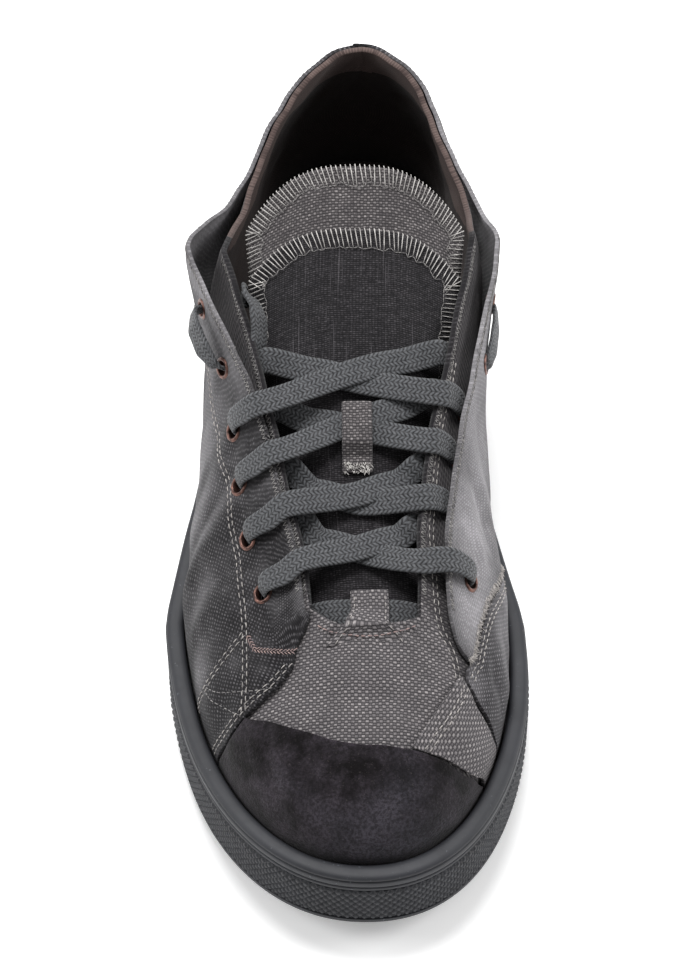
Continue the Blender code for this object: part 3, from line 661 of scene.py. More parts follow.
def layer(field, low, high, share, over, under="colour"):
    # a colour laid over the others as a field passes from low to high
    return (
        ("share", "MapRange", (field, low, high, 0.0, share), {}),
        ("colour", "Mix", {0: "share", 6: under, 7: linear(over)}, mixed),
    )


def clothMaterial(name, deep, thread, pale, warp, weft, dots, depth, washed, streak=0.0, rib=0.0):
    # plain weave: thread pitches in mm, pale tops of the threads, washed-out areas and painted highlights
    # by attribute, both scaled by washed
    rows = [
        objectPlace,
        fadeAndHighlightRow,
        *uvRows,
        ("broad", "Mapping", {"Vector": "uv", "Scale": (0.16, 1.25, 1.0)}, {}),
        ("long", "Mapping", {"Vector": "uv", "Scale": (1.7, 0.035, 1.0)}, {}),
        ("waver", "TexNoise", {"Vector": "uv", "Scale": 0.18, "Detail": 2.0, "Roughness": 0.55}, {}),
        ("cloud", "TexNoise", {"Vector": "place", "Scale": 55.0, "Detail": 5.0, "Roughness": 0.6}, {}),
        ("speck", "TexNoise", {"Vector": "place", "Scale": 900.0, "Detail": 2.0, "Roughness": 0.7}, {}),
        ("slub", "TexNoise", {"Vector": "broad", "Scale": 1.0, "Detail": 2.0, "Roughness": 0.55}, {}),
        ("fine", "TexNoise", {"Vector": "long", "Scale": 1.0, "Detail": 1.0, "Roughness": 0.55}, {}),
        ("shade", "TexNoise", {"Vector": "place", "Scale": 130.0, "Detail": 4.0, "Roughness": 0.55}, {}),
        # the weave: which thread is on top, and how high it stands
        ("u", "Math", ("waver", 1.3, "x"), multiplyAdd),
        ("v", "Math", ("waver", -1.1, "y"), multiplyAdd),
        ("u", "Math", ("u", math.pi / warp), multiply),
        ("v", "Math", ("v", math.pi / weft), multiply),
        ("warpWave", "Math", ("u",), sine),
        ("weftWave", "Math", ("v",), sine),
        ("weave", "Math", ("warpWave", "weftWave"), multiply),
        ("over", "MapRange", ("weave", -0.12, 0.12), {}),
        ("over", "Math", ("over", 1 - rib, rib), multiplyAdd),
        ("warpTop", "Math", ("warpWave",), absolute),
        ("weftTop", "Math", ("weftWave",), absolute),
        ("warpTop", "Math", ("warpTop", 0.6), power),
        ("weftTop", "Math", ("weftTop", 1.7), power),
        ("knot", "Math", ("warpTop", "weftTop"), multiply),
        ("height", "Math", ("knot", 0.65), multiply),
        ("height", "Math", ("over", 0.35, "height"), multiplyAdd),
        *layer("height", 0.05, 0.75, 1.0, thread, linear(deep)),
        # pale tops of the threads, more on slubs and lint
        ("dots", "Math", ("over", "knot"), multiply),
        ("dots", "Math", ("dots", dots), multiply),
        ("lint", "MapRange", ("speck", 0.30, 0.62), {}),
        ("dots", "Math", ("dots", "lint"), multiply),
        ("slub", "MapRange", ("slub", 0.34, 0.66), {}),
        ("slub", "Math", ("slub", 1.1, 0.35), multiplyAdd),
        ("dots", "Math", ("dots", "slub"), multiply),
        ("colour", "Mix", {0: "dots", 6: "colour", 7: linear(pale)}, mixed),
        # washed-out areas and painted highlights on the folds, marled by the weave; a value below nought
        # is dark cloth
        ("marl", "Math", ("speck", 0.5, 0.38), multiplyAdd),
        ("marl", "Math", ("height", 0.42, "marl"), multiplyAdd),
        ("fadeAndHighlightShare", "Math", ("cloud", 0.62, "fadeAndHighlight"), multiplyAdd),
        ("fadeAndHighlightShare", "Math", ("fadeAndHighlightShare", washed), multiply),
        ("fadeAndHighlightShare", "MapRange", ("fadeAndHighlightShare", 0.22, 1.1), {}),
        ("fadeAndHighlightShare", "Math", ("fadeAndHighlightShare", "marl"), multiply),
        ("colour", "Mix", {0: "fadeAndHighlightShare", 6: "colour", 7: linear(pale)}, mixed),
        ("dark", "Math", ("fadeAndHighlight", -1.0), multiply),
        *layer("dark", 0.0, 1.0, 0.62, "#1c1a1d"),
        *layer("fine", 0.66, 0.72, streak, pale),
        *layer("shade", 0.25, 0.75, 0.30, deep),
        ("bump", "Bump", {"Height": "height", "Strength": depth, "Distance": 0.25 * mm}, {}),
        (
            "fuzz", "Bump", {"Height": "speck", "Strength": 0.25, "Distance": 0.12 * mm, "Normal": "bump"},
            {}
        ),
    ]
    return newMaterial(name, rows, {
        "Base Color": "colour",
        "Normal": "fuzz",
        "Roughness": 0.93,
        "Specular IOR Level": 0.18,
        "Sheen Weight": 0.07,
        "Sheen Roughness": 0.6,
    })


# Coarse cotton canvas, washed grey: thick threads with pale tops tell it to the eye.
vampCloth = clothMaterial(
    "washed canvas coarse weave", "#2f2d2f", "#6b6769", "#b3adac", 1.0, 1.0, 0.80, 0.7, 0.26)
# Finer black canvas of the quarters: nearly black between, faded on the ridges and streaked with painted
# highlights along the folds.
quarterCloth = clothMaterial(
    "washed canvas fine weave", "#0d0c0e", "#1c1a1d", "#c4c1c5", 0.80, 0.80, 0.22, 0.3, 0.66)
# Dark canvas low on the inner side: an even charcoal with small pale knots.
panelCloth = clothMaterial(
    "dark canvas side panel", "#1a181b", "#3a383b", "#b2afb3", 0.80, 0.80, 0.45, 0.4, 0.62)
# Ribbed black canvas of the front tongue: upright ribs and long thin pale streaks.
tongueCloth = clothMaterial(
    "dark ribbed tongue canvas", "#070608", "#161417", "#757175",
    0.95, 0.62, 0.40, 0.6, 0.05, streak=0.24, rib=0.60)
# Grey canvas of the rear tongue: a plain open weave, paler towards its top.
rearCloth = clothMaterial(
    "grey tongue canvas", "#242223", "#4c484a", "#aaa4a3", 0.95, 0.85, 0.80, 0.5, 0.24, rib=0.25)
# Thin brown lining cloth: smooth, dark and warm beside the grey canvas.
liningCloth = clothMaterial(
    "brown lining cloth", "#171110", "#2e2523", "#544642", 0.5, 0.5, 0.3, 0.2, 0.3)
# The same lining, paler round the collar by the heel.
collarCloth = clothMaterial(
    "pale collar lining", "#3a2f2d", "#62534f", "#8c7d77", 0.5, 0.5, 0.3, 0.2, 0.4)

# Scuffed black suede: no gloss, clouded in random patches, grey where it is rubbed.
suede = newMaterial("scuffed black suede", [
    objectPlace,
    fadeAndHighlightRow,
    ("cloud", "TexNoise", {"Vector": "place", "Scale": 85.0, "Detail": 7.0, "Roughness": 0.68}, {}),
    ("patch", "TexNoise", {"Vector": "place", "Scale": 26.0, "Detail": 3.0, "Roughness": 0.5}, {}),
    ("nap", "TexNoise", {"Vector": "place", "Scale": 1050.0, "Detail": 3.0, "Roughness": 0.75}, {}),
    ("lint", "TexNoise", {"Vector": "place", "Scale": 1900.0, "Detail": 1.0, "Roughness": 0.55}, {}),
    *layer("cloud", 0.40, 0.62, 1.0, "#373238", linear("#0a0709")),
    ("worn", "Math", ("patch", 1.5, -0.72), multiplyAdd),
    ("worn", "Math", ("fadeAndHighlight", 0.60, "worn"), multiplyAdd),
    *layer("worn", 0.1, 0.95, 1.0, "#4a4850"),
    *layer("nap", 0.40, 0.60, 0.66, "#0f0d0e"),
    *layer("lint", 0.66, 0.74, 0.12, "#7d7672"),
    ("bump", "Bump", {"Height": "nap", "Strength": 0.9, "Distance": 0.4 * mm}, {}),
], {
    "Base Color": "colour",
    "Normal": "bump",
    "Roughness": 0.97,
    "Specular IOR Level": 0.1,
    "Sheen Weight": 0.12,
    "Sheen Roughness": 0.5,
})

# Moulded slate rubber: a satin gloss broken by grime and small pale scuffs.
rubber = newMaterial("moulded slate rubber", [
    objectPlace,
    ("cloud", "TexNoise", {"Vector": "place", "Scale": 38.0, "Detail": 4.0, "Roughness": 0.6}, {}),
    ("grime", "TexNoise", {"Vector": "place", "Scale": 220.0, "Detail": 5.0, "Roughness": 0.65}, {}),
    ("scuff", "TexNoise", {"Vector": "place", "Scale": 640.0, "Detail": 2.0, "Roughness": 0.7}, {}),
    *layer("cloud", 0.3, 0.7, 1.0, "#2e2f34", linear("#242529")),
    *layer("grime", 0.56, 0.74, 0.35, "#222327"),
    *layer("scuff", 0.68, 0.76, 0.3, "#7b8088"),
    ("rough", "MapRange", ("grime", 0.0, 1.0, 0.5, 0.68), {}),
    ("bump", "Bump", {"Height": "grime", "Strength": 0.12, "Distance": 0.2 * mm}, {}),
], {"Base Color": "colour", "Roughness": "rough", "Normal": "bump", "Specular IOR Level": 0.4})

# Flat braided cotton lace: chevrons in six columns tell it; u runs across from 0 to 1, v
# along in mm.
lace = newMaterial("slate braided lace", [
    objectPlace,
    *uvRows,
    ("fibre", "TexNoise", {"Vector": "place", "Scale": 1300.0, "Detail": 2.0, "Roughness": 0.55}, {}),
    ("column", "Math", ("x", 6.0), multiply),
    ("lean", "Math", ("column", 1.0), pingpong),
    ("along", "Math", ("y", 1.35), divide),
    ("along", "Math", ("lean", 0.85, "along"), multiplyAdd),
    ("ridge", "Math", ("along", math.pi), multiply),
    ("ridge", "Math", ("ridge",), sine),
    ("ridge", "Math", ("ridge",), absolute),
    ("seam", "Math", ("column", math.pi), multiply),
    ("seam", "Math", ("seam",), sine),
    ("seam", "Math", ("seam",), absolute),
    ("seam", "Math", ("seam", 0.25), power),
    ("height", "Math", ("ridge", "seam"), multiply),
    # painted highlights on the tops of the braid's ridges and painted shade in the grooves between them
    *layer("height", 0.30, 1.0, 1.0, "#525457", linear("#18181a")),
    *layer("fibre", 0.4, 0.7, 0.18, "#8f8f92"),
    ("bump", "Bump", {"Height": "height", "Strength": 0.5, "Distance": 0.3 * mm}, {}),
], {
    "Base Color": "colour",
    "Normal": "bump",
    "Roughness": 0.82,
    "Specular IOR Level": 0.3,
    "Sheen Weight": 0.15,
})


def mottled(name, colour, second, scale, roughness, metallic=0.0):
    rows = [
        objectPlace,
        ("cloud", "TexNoise", {"Vector": "place", "Scale": scale, "Detail": 3.0, "Roughness": 0.55}, {}),
        *layer("cloud", 0.35, 0.65, 1.0, second, linear(colour)),
    ]
    return newMaterial(name, rows, {"Base Color": "colour", "Roughness": roughness, "Metallic": metallic})


# Copper plating dulled by wear: warm metal with dark patches.
copper = mottled("aged copper eyelets", "#7c5c53", "#3d302d", 500.0, 0.40, 0.9)
# Cotton sewing threads: matt, each a little mottled; the tone tells the rows apart.
paleThread = mottled("pale cotton thread", "#b4afab", "#7d7977", 900.0, 0.9)
greyThread = mottled("marled grey thread", "#9b9896", "#514f50", 900.0, 0.9)
pinkThread = mottled("pinkish thread", "#a48d87", "#77686a", 900.0, 0.9)
# Bulky white overlock thread round the tongues.
whiteThread = mottled("white overlock thread", "#c6c3bf", "#858280", 500.0, 0.88)

print("sneaker: materials made")


# Mesh helpers.
def meshPiece(name, points, faces, materials, uv=None, fadeAndHighlight=None, sharp=45):
    mesh = bpy.data.meshes.new(name)
    mesh.from_pydata(np.asarray(points, float).reshape(-1, 3).tolist(), [], faces)
    for made in materials:
        mesh.materials.append(made)
    if uv is not None:
        corners = np.empty(len(mesh.loops), dtype=np.int32)
        mesh.loops.foreach_get("vertex_index", corners)
        layer = mesh.uv_layers.new(name="cloth")
        layer.data.foreach_set("uv", np.asarray(uv, float).reshape(-1, 2)[corners].ravel())
    if fadeAndHighlight is not None:
        mesh.attributes.new("fadeAndHighlight", "FLOAT", "POINT").data.foreach_set(
            "value", np.asarray(fadeAndHighlight, float).ravel()
        )
    mesh.shade_smooth()
    if sharp:
        mesh.set_sharp_from_angle(angle=math.radians(sharp))
    return inScene(name, mesh)


def gridFaces(rows, columns, closed=False):
    r, c = np.meshgrid(np.arange(rows - 1), np.arange(columns if closed else columns - 1), indexing="ij")
    after = (c + 1) % columns
    low, high = r * columns, (r + 1) * columns
    return np.stack([low + c, low + after, high + after, high + c], axis=-1).reshape(-1, 4).tolist()


def clothUv(points):
    # lengths along the rows and up the columns, in mm
    across = np.linalg.norm(np.diff(points, axis=1), axis=-1)
    up = np.linalg.norm(np.diff(points, axis=0), axis=-1)
    u = np.concatenate([np.zeros((points.shape[0], 1)), np.cumsum(across, axis=1)], axis=1)
    v = np.concatenate([np.zeros((1, points.shape[1])), np.cumsum(up, axis=0)], axis=0)
    middle = points.shape[1] // 2
    u = u - u[:, middle : middle + 1]
    return np.stack([u, v], axis=-1) * 1000


def wall(piece, thickness, offset, inner=0, rim=0):
    layer = piece.modifiers.new("wall", "SOLIDIFY")
    layer.thickness = thickness
    layer.offset = offset
    layer.use_rim = True
    layer.material_offset = inner
    layer.material_offset_rim = rim
    return piece


def give(piece, slotName, *nodes):
    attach(piece, "root")
    if nodes:
        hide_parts(*nodes)
    return piece


def baked(piece):
    # the piece with its modifiers applied
    graph = bpy.context.evaluated_depsgraph_get()
    mesh = bpy.data.meshes.new_from_object(piece.evaluated_get(graph))
    piece.modifiers.clear()
    piece.data = mesh
    return piece


def cutterOf(name, shape):
    mesh = bpy.data.meshes.new(name)
    shape.to_mesh(mesh)
    shape.free()
    return inScene(name, mesh)


def cutBy(piece, cutter):
    cut = piece.modifiers.new(cutter.name, "BOOLEAN")
    cut.object = cutter
    cut.solver = "EXACT"
    baked(piece)


def fadeAndHighlightAt(spots, s, h):
    # washed-out and rubbed areas, and painted highlights: s, h, reach along s and up h, strength
    total = np.zeros(np.broadcast(s, h).shape)
    for s0, h0, reachS, reachH, strength in spots:
        total += strength * np.exp(-(((s - s0) / reachS) ** 2) - ((h - h0) / reachH) ** 2)
    return total


def threads(name, paths, facing, radius, made, sides=5, tips=0.35):
    # many short threads as one mesh: paths (count, points, 3), facing (count, 3)
    paths, facing = np.asarray(paths, float), np.asarray(facing, float)
    count, length = paths.shape[:2]
    tangent = unit(np.gradient(paths, axis=1))
    side = unit(np.cross(tangent, facing[:, None, :]))
    up = np.cross(side, tangent)
    turn = np.arange(sides) * 2 * math.pi / sides
    swell = np.ones(length)
    swell[0] = swell[-1] = tips
    ring = np.cos(turn)[:, None] * side[:, :, None, :] + np.sin(turn)[:, None] * up[:, :, None, :]
    points = paths[:, :, None, :] + ring * (radius * swell)[None, :, None, None]
    one = np.array(gridFaces(length, sides, closed=True))
    block = length * sides
    faces = (one[None] + (np.arange(count) * block)[:, None, None]).reshape(-1, 4).tolist()
    for k in range(count):
        faces.append([k * block + j for j in reversed(range(sides))])
        faces.append([k * block + (length - 1) * sides + j for j in range(sides)])
    return meshPiece(name, points, faces, [made], sharp=0)


def alongLine(points, pitch, stagger=0.0):
    # places every pitch along a line of points, as fractional indices
    lengths = np.concatenate([[0], np.cumsum(np.linalg.norm(np.diff(points, axis=0), axis=1))])
    stops = np.arange(pitch * (0.5 + stagger), lengths[-1], pitch)
    return np.interp(stops, lengths, np.arange(len(points)))


def readLine(values, at):
    base = np.clip(at.astype(int), 0, len(values) - 2)
    part = (at - base)[:, None]
    return values[base] * (1 - part) + values[base + 1] * part


def stitchRow(places, pitch, length, lift, put, tilt=0.0, shift=0.0):
    # stitches along places (s, h): their paths and the way each faces
    rows = [(k / (len(places) - 1), *place) for k, place in enumerate(places)]
    sh = through(rows, np.linspace(0, 1, 240))
    line = put(sh[:, 0], sh[:, 1], lift)
    normals = skinNormal(sh[:, 0], sh[:, 1])
    along = unit(np.gradient(line, axis=0))
    line = line + np.cross(normals, along) * shift
    at = alongLine(line, pitch)
    centre, way, out = readLine(line, at), unit(readLine(along, at)), unit(readLine(normals, at))
    way = unit(way + np.cross(out, way) * (tilt + chance.normal(0, 0.06, len(at)))[:, None])
    reach = length * (1 + chance.normal(0, 0.07, len(at)))[:, None] / 2
    sink = out * 0.16 * mm
    ends, inner = way * reach, way * reach * 0.55
    paths = [centre - ends - sink, centre - inner, centre + inner, centre + ends - sink]
    return np.stack(paths, axis=1), out


def sewn(name, rows, made, radius, slotName="washed_canvas"):
    paths = np.concatenate([row[0] for row in rows])
    facing = np.concatenate([row[1] for row in rows])
    return give(threads(name, paths, facing, radius, made), slotName)


# Sole: one cup, from the underside up the wall, over the lip and down to its floor.
# rows: inset from the outline (none stands for the depth under the band), and a height
# over the ground or the rim, in mm
soleProfile = (
    (1.60, "ground", 0.0),
    (0.95, "ground", 0.12),
    (0.55, "ground", 0.50),
    (0.42, "ground", 1.10),
    (0.40, "ground", 2.10),
    (None, "ground", 2.60),
    (None, "rim", -6.20),
    (0.40, "rim", -5.75),
    (0.36, "rim", -5.10),
    (0.50, "rim", -4.75),
    (1.10, "rim", -4.45),
    (0.50, "rim", -4.15),
    (0.34, "rim", -3.80),
    (0.34, "rim", -2.20),
    (0.50, "rim", -1.90),
    (1.10, "rim", -1.62),
    (0.60, "rim", -1.30),
    (0.62, "rim", -0.85),
    (0.95, "rim", -0.42),
    (1.50, "rim", -0.12),
    (2.30, "rim", -0.02),
    (3.80, "rim", -0.04),
    (5.00, "rim", -0.22),
    (5.65, "rim", -0.70),
    (5.95, "rim", -1.60),
    (6.00, "rim", -3.00),
)


def soleRings(s):
    y = outline(s)[1]
    level = {"ground": groundZ(y), "rim": rimZ(y)}
    deep = np.where(np.abs(s) < shoe["bumperEnd"], 1.9, 0.4)
    points = []
    for inset, base, lift in soleProfile:
        x, yy = outline(s, (deep if inset is None else inset) * mm)
        points.append(np.stack([x, yy, level[base] + lift * mm], axis=-1))
    x, yy = outline(s, shoe["rimWidth"])
    points.append(np.stack([x, yy, floorZ(yy)], axis=-1))
    return np.array(points)


def ringCap(at, offset, flip):
    count, toe = len(at), int(np.argmin(np.abs(at)))
    faces = []
    for k in range(1, toe + 1):
        corners = [toe - k, toe - k + 1, toe + k - 1, (toe + k) % count]
        if k == 1:
            corners.pop(2)
        if k == toe:
            corners.pop()
        face = [offset + corner for corner in corners]
        faces.append(face[::-1] if flip else face)
    return faces


def stationsFor(count):
    half = np.concatenate([
        np.linspace(0, 0.35, count)[:-1],
        np.linspace(0.35, 0.8, int(count * 0.8))[:-1],
        np.linspace(0.8, 1.0, int(count * 0.6)),
    ])
    return np.concatenate([-half[::-1][:-1], half[:-1]])


tread = {
    "grooves": (-76, -64, -52, -40, -28, 66, 78, 90, 102, 114), "width": 3.0, "depth": 2.0, "margin": 9.0,
    "fine": 1.1, "fineDepth": 0.7
}


def makeSole():
    at = stationsFor(70)
    ends = [side * (shoe["bumperEnd"] + d) for side in (-1, 1) for d in (-0.001, 0.001)]
    at = np.sort(np.concatenate([at, ends]))
    rings = soleRings(at)
    faces = gridFaces(len(rings), len(at), closed=True)
    faces += ringCap(at, 0, True) + ringCap(at, (len(rings) - 1) * len(at), False)
    sole = meshPiece("rubber_cup_sole", rings, faces, [rubber], sharp=50)
    shape = bmesh.new()
    cuts = [(y, tread["width"], tread["depth"]) for y in tread["grooves"]]
    cuts += [(y + d, tread["fine"], tread["fineDepth"]) for y in tread["grooves"] for d in (4.5, 7.5)]
    for y, width, depth in cuts:
        t = (heelPole - y * mm) / (heelPole - toePole)
        half = float(lerp(shoe["heel"], shoe["ball"], through(waistLine, t)) / 2) - tread["margin"] * mm
        x = float(through(centreLine, fromToe(y * mm)) * shoe["ball"] + shoe["sideShift"])
        size = Matrix.Diagonal((2 * half, width * mm, 2 * depth * mm, 1))
        bmesh.ops.create_cube(shape, size=1, matrix=Matrix.Translation((x, y * mm, 0)) @ size)
    cutter = cutterOf("tread", shape)
    cutBy(sole, cutter)
    bpy.data.objects.remove(cutter)
    give(sole, "slate_rubber", "cup_sole")


makeSole()

# Knurled band round the toe: small diamonds standing out of a flat band.
knurl = {"long": 2.5, "high": 1.5, "height": 0.82, "depth": 1.4, "columns": 800, "rows": 56}


def makeBumper():
    end = shoe["bumperEnd"] - 0.002
    s = np.linspace(-end, end, knurl["columns"])
    y = outline(s)[1]
    low, high = groundZ(y) + 2.9 * mm, rimZ(y) - 6.5 * mm
    x, yy = outline(s)
    run = np.concatenate([[0], np.cumsum(np.hypot(np.diff(x), np.diff(yy)))]) * 1000
    t = np.linspace(0, 1, knurl["rows"])[:, None]
    z = lerp(low, high, t)
    up = (high - z) * 1000
    a = run / knurl["long"] + up / (2 * knurl["high"])
    b = run / knurl["long"] - up / (2 * knurl["high"])
    peak = np.minimum(np.abs(2 * (a % 1) - 1), np.abs(2 * (b % 1) - 1))
    edges = smooth(np.minimum(t, 1 - t) / 0.04) * smooth((end - np.abs(s)) / 0.004)
    inset = (knurl["height"] * (1 - np.clip(peak * 2.2, 0, 1) * edges)) * mm
    out = outwardAt(s)
    points = np.stack([x + 0 * t, yy + 0 * t, z], axis=-1) - out[None] * inset[..., None]
    band = meshPiece("knurled_toe_bumper", points, gridFaces(len(t), len(s)), [rubber], sharp=0)
    wall(band, knurl["depth"] * mm, -1)
    give(band, "slate_rubber", "toe_bumper")


makeBumper()
print("sneaker: sole and toe band made")


# Insole and the hollow upper with its lining.
def makeInsole():
    at = stationsFor(46)
    inset = upperInset + shoe["wall"] + 0.3 * mm
    rings = []
    for extra, lift in ((0, 0.3), (0, 3.2), (0.5, 4.0), (1.4, 4.3)):
        x, y = outline(at, inset + extra * mm)
        rings.append(np.stack([x, y, floorZ(y) + lift * mm], axis=-1))
    faces = gridFaces(4, len(at), closed=True) + ringCap(at, 0, True) + ringCap(at, 3 * len(at), False)
    rings = np.array(rings)
    piece = meshPiece("cloth_insole", rings, faces, [liningCloth], uv=rings[..., :2] * 1000)
    give(piece, "brown_lining", "insole")


makeInsole()

# Pale areas of the upper's cloth: partly the canvas washed out, partly painted highlights and painted
# light on the lit sides.
vampFadeAndHighlight = (
    (0.02, 0.62, 0.16, 0.16, 0.55),
    (-0.02, 0.92, 0.20, 0.10, 0.10),
    (0.12, 0.60, 0.06, 0.10, 0.25),
)
# quarters: painted highlights in narrow streaks along the folds, pale bands along the collar, and painted
# light making the inner side and the heel lighter
quarterFadeAndHighlight = (
    (-0.335, 0.40, 0.012, 0.16, 0.20),
    (-0.375, 0.36, 0.012, 0.24, 0.30),
    (-0.405, 0.32, 0.014, 0.26, 0.50),
    (-0.285, 0.20, 0.016, 0.10, 0.30),
    (-0.46, 0.36, 0.03, 0.30, 0.50),
    (-0.52, 0.60, 0.04, 0.30, 0.45),
    (-0.58, 0.92, 0.14, 0.10, 0.55),
    (-0.80, 0.90, 0.14, 0.14, 0.60),
    (-0.30, 0.97, 0.06, 0.05, 0.15),
    (0.335, 0.66, 0.022, 0.26, 0.62),
    (0.365, 0.62, 0.018, 0.30, 0.55),
    (0.400, 0.60, 0.022, 0.34, 0.62),
    (0.44, 0.58, 0.026, 0.36, 0.62),
    (0.49, 0.62, 0.030, 0.34, 0.50),
    (0.58, 0.90, 0.16, 0.14, 0.70),
    (0.80, 0.90, 0.14, 0.16, 0.75),
    (0.285, 0.62, 0.040, 0.24, 0.85),
)
# inner side panel: painted light, lighter in patches where the light falls on the inner side
panelFadeAndHighlight = (
    (0.30, 0.25, 0.03, 0.16, 0.40), (0.35, 0.22, 0.03, 0.16, 0.60), (0.22, 0.50, 0.03, 0.12, 0.35),
    (0.40, 0.30, 0.03, 0.2, 0.6)
)
capWash = (
    (-0.01, 0.24, 0.05, 0.12, 0.50),
    (-0.10, 0.34, 0.04, 0.10, 0.40),
    (0.05, 0.34, 0.04, 0.07, 0.35),
    (0.02, 0.08, 0.10, 0.06, 0.30),
)


facingFront = ((-1.0, 0.185), (0.55, 0.185), (0.68, 0.205), (0.78, 0.226), (0.87, 0.248), (1.0, 0.256))


def makeUpper():
    s = stationsFor(96)
    h = np.concatenate([[-1, -0.4], np.linspace(0, 1, 64)])
    sGrid, hGrid = np.meshgrid(s, h)
    points = onSkin(sGrid, hGrid, 0.0)
    uv = clothUv(points)
    front = np.abs(sGrid) < 0.30
    uv[..., 0] = np.where(front, points[..., 0] * 1000, uv[..., 0])
    uv[..., 1] = np.where(front, points[..., 1] * 1180, uv[..., 1])
    # the facings are dark cloth, which a value below nought in the fade and highlight attribute stands for
    aside = np.abs(sGrid)
    facing = np.clip((aside - through(facingFront, hGrid)) / 0.007, 0, 1)
    facing = facing * np.clip((hGrid - 0.5) / 0.05, 0, 1) * np.clip((0.60 - aside) / 0.02, 0, 1)
    fadeAndHighlight = fadeAndHighlightAt(vampFadeAndHighlight, sGrid, hGrid) * (1 - facing) - facing
    shell = meshPiece(
        "canvas_upper", points, gridFaces(len(h), len(s), closed=True),
        [vampCloth, liningCloth, collarCloth, quarterCloth], uv=uv, fadeAndHighlight=fadeAndHighlight
    )
    wall(shell, shoe["wall"], -1, inner=1, rim=2)
    return shell


def colourCollar(piece, deep, front):
    # paler brown lining round the heel's top; the edge along the facings is the cloth's own
    line = np.array([skin(s, 1.0) for s in np.linspace(0.5, 1.0, 60)])
    line = line[np.argsort(line[:, 1])]
    count = len(piece.data.polygons)
    centre, index = np.empty(count * 3), np.empty(count, dtype=np.int32)
    piece.data.polygons.foreach_get("center", centre)
    piece.data.polygons.foreach_get("material_index", index)
    centre = centre.reshape(-1, 3)
    high = centre[:, 2] > np.interp(centre[:, 1], line[:, 1], line[:, 2]) - deep
    heel = centre[:, 1] > front
    index[(index == 1) & high & heel] = 2
    index[(index == 2) & ~heel] = 3
    piece.data.polygons.foreach_set("material_index", index)


# Cutters for the eyelet holes, and the eyelets themselves as turned rims.
eyeletSize = {"bore": 2.2, "flange": 3.35, "wall": 0.5, "barrel": 2.3, "turns": 36}


def eyeletFrames():
    frames = []
    step = 0.01
    for s, h, onFlap in eyeletsOuter + eyeletsInner:
        around = np.array([s, s + step, s - step, s, s])
        up = np.array([h, h, h, h + step, h - step])
        put = onQuarter(around, up) if onFlap else onSkin(around, up, 0.0)
        point = put[0]
        normal = unit(np.cross(put[1] - put[2], put[3] - put[4]))
        turn = Vector(normal).to_track_quat("Z", "Y").to_matrix().to_4x4()
        frames.append(Matrix.Translation(point) @ turn)
    return frames


eyeletPlaces = eyeletFrames()


def holeCutter():
    shape = bmesh.new()
    radius = (eyeletSize["bore"] + eyeletSize["wall"] + 0.05) * mm
    for place, (s, _, onFlap) in zip(eyeletPlaces, eyeletsOuter + eyeletsInner):
        reach = (4.2 if not onFlap else 22 if abs(s) < 0.46 else 7) * mm
        bmesh.ops.create_cone(
            shape, cap_ends=True, segments=24, radius1=radius, radius2=radius, depth=reach, matrix=place
        )
    return cutterOf("holes", shape)


def makeEyelets():
    bore, flange, wallSize = eyeletSize["bore"], eyeletSize["flange"], eyeletSize["wall"]
    profile = [
        (bore, -eyeletSize["barrel"]), (bore, 0.2), (bore + 0.10, 0.38), (bore + 0.30, 0.52),
        (bore + 0.60, 0.52), (bore + 0.90, 0.40), (flange, 0.10), (flange - 0.1, 0.05),
        (bore + wallSize, 0.05), (bore + wallSize, -eyeletSize["barrel"])
    ]
    turn = np.linspace(0, 2 * math.pi, eyeletSize["turns"], endpoint=False)
    rings = np.array([[(r * math.cos(a), r * math.sin(a), z) for a in turn] for r, z in profile]) * mm
    one = np.array(gridFaces(len(profile), len(turn), closed=True))
    last = len(profile) - 1
    count = len(turn)
    k = np.arange(count)
    closing = np.stack([last * count + k, last * count + (k + 1) % count, (k + 1) % count, k], axis=-1)
    one = np.concatenate([one, closing])
    flat = rings.reshape(-1, 3)
    points, faces = [], []
    for number, place in enumerate(eyeletPlaces):
        squash = 1 + 0.05 * math.sin(number * 2.3)
        turned = np.array(place.to_3x3()) @ (flat * (squash, 2 - squash, 1)).T
        points.append(turned.T + np.array(place.translation))
        faces += (one[:, ::-1] + number * len(flat)).tolist()
    piece = meshPiece("copper_eyelets", np.concatenate(points), faces, [copper], sharp=60)
    names = [f"eyelet_{side}_{k}" for side in ("outer", "inner") for k in range(1, 7)]
    give(piece, "copper_eyelet", *names)


makeEyelets()


def overlay(name, place, columns, rows, made, spots):
    # a cloth layer over the upper on a fine grid, its rim eased down at the edges
    c, r = np.meshgrid(np.linspace(0, 1, columns), np.linspace(0, 1, rows))
    s, h = place(c, r)
    points = onSkin(s, h, shoe["gap"] + flare(s, h))
    piece = meshPiece(
        name, points, gridFaces(rows, columns), [made], uv=clothUv(skin(s, h)), fadeAndHighlight=fadeAndHighlightAt(spots, s, h)
    )
    wall(piece, shoe["overlay"], 1)
    soft = piece.modifiers.new("soft edge", "BEVEL")
    soft.width = 0.35 * mm
    soft.segments = 2
    soft.limit_method = "ANGLE"
    soft.angle_limit = math.radians(50)
    return piece


def outerQuarterPlace(c, r):
    level = np.where(r < 0.06, lerp(shoe["overlayFoot"], 0, r / 0.06), (r - 0.06) / 0.94)
    front = through(outerFront, level)
    s = lerp(-shoe["backSeam"], front, c)
    return s, level * np.where(level > 0, through(outerTop, -s), 1)


def innerQuarterPlace(c, r):
    s = lerp(innerTop[0][0], shoe["backSeam"], c)
    return s, lerp(through(innerFold, s), through(innerTop, s), r)


def cornerPlace(foot, top, c, r):
    low = lerp(foot[0], foot[1], c)
    high = lerp(top[0][0], top[-1][0], c)
    t = np.clip((r - 0.1) / 0.9, 0, 1)
    s = np.where(r < 0.1, low, lerp(low, high, t))
    return s, np.where(r < 0.1, lerp(shoe["overlayFoot"], 0, r / 0.1), through(top, high) * t)


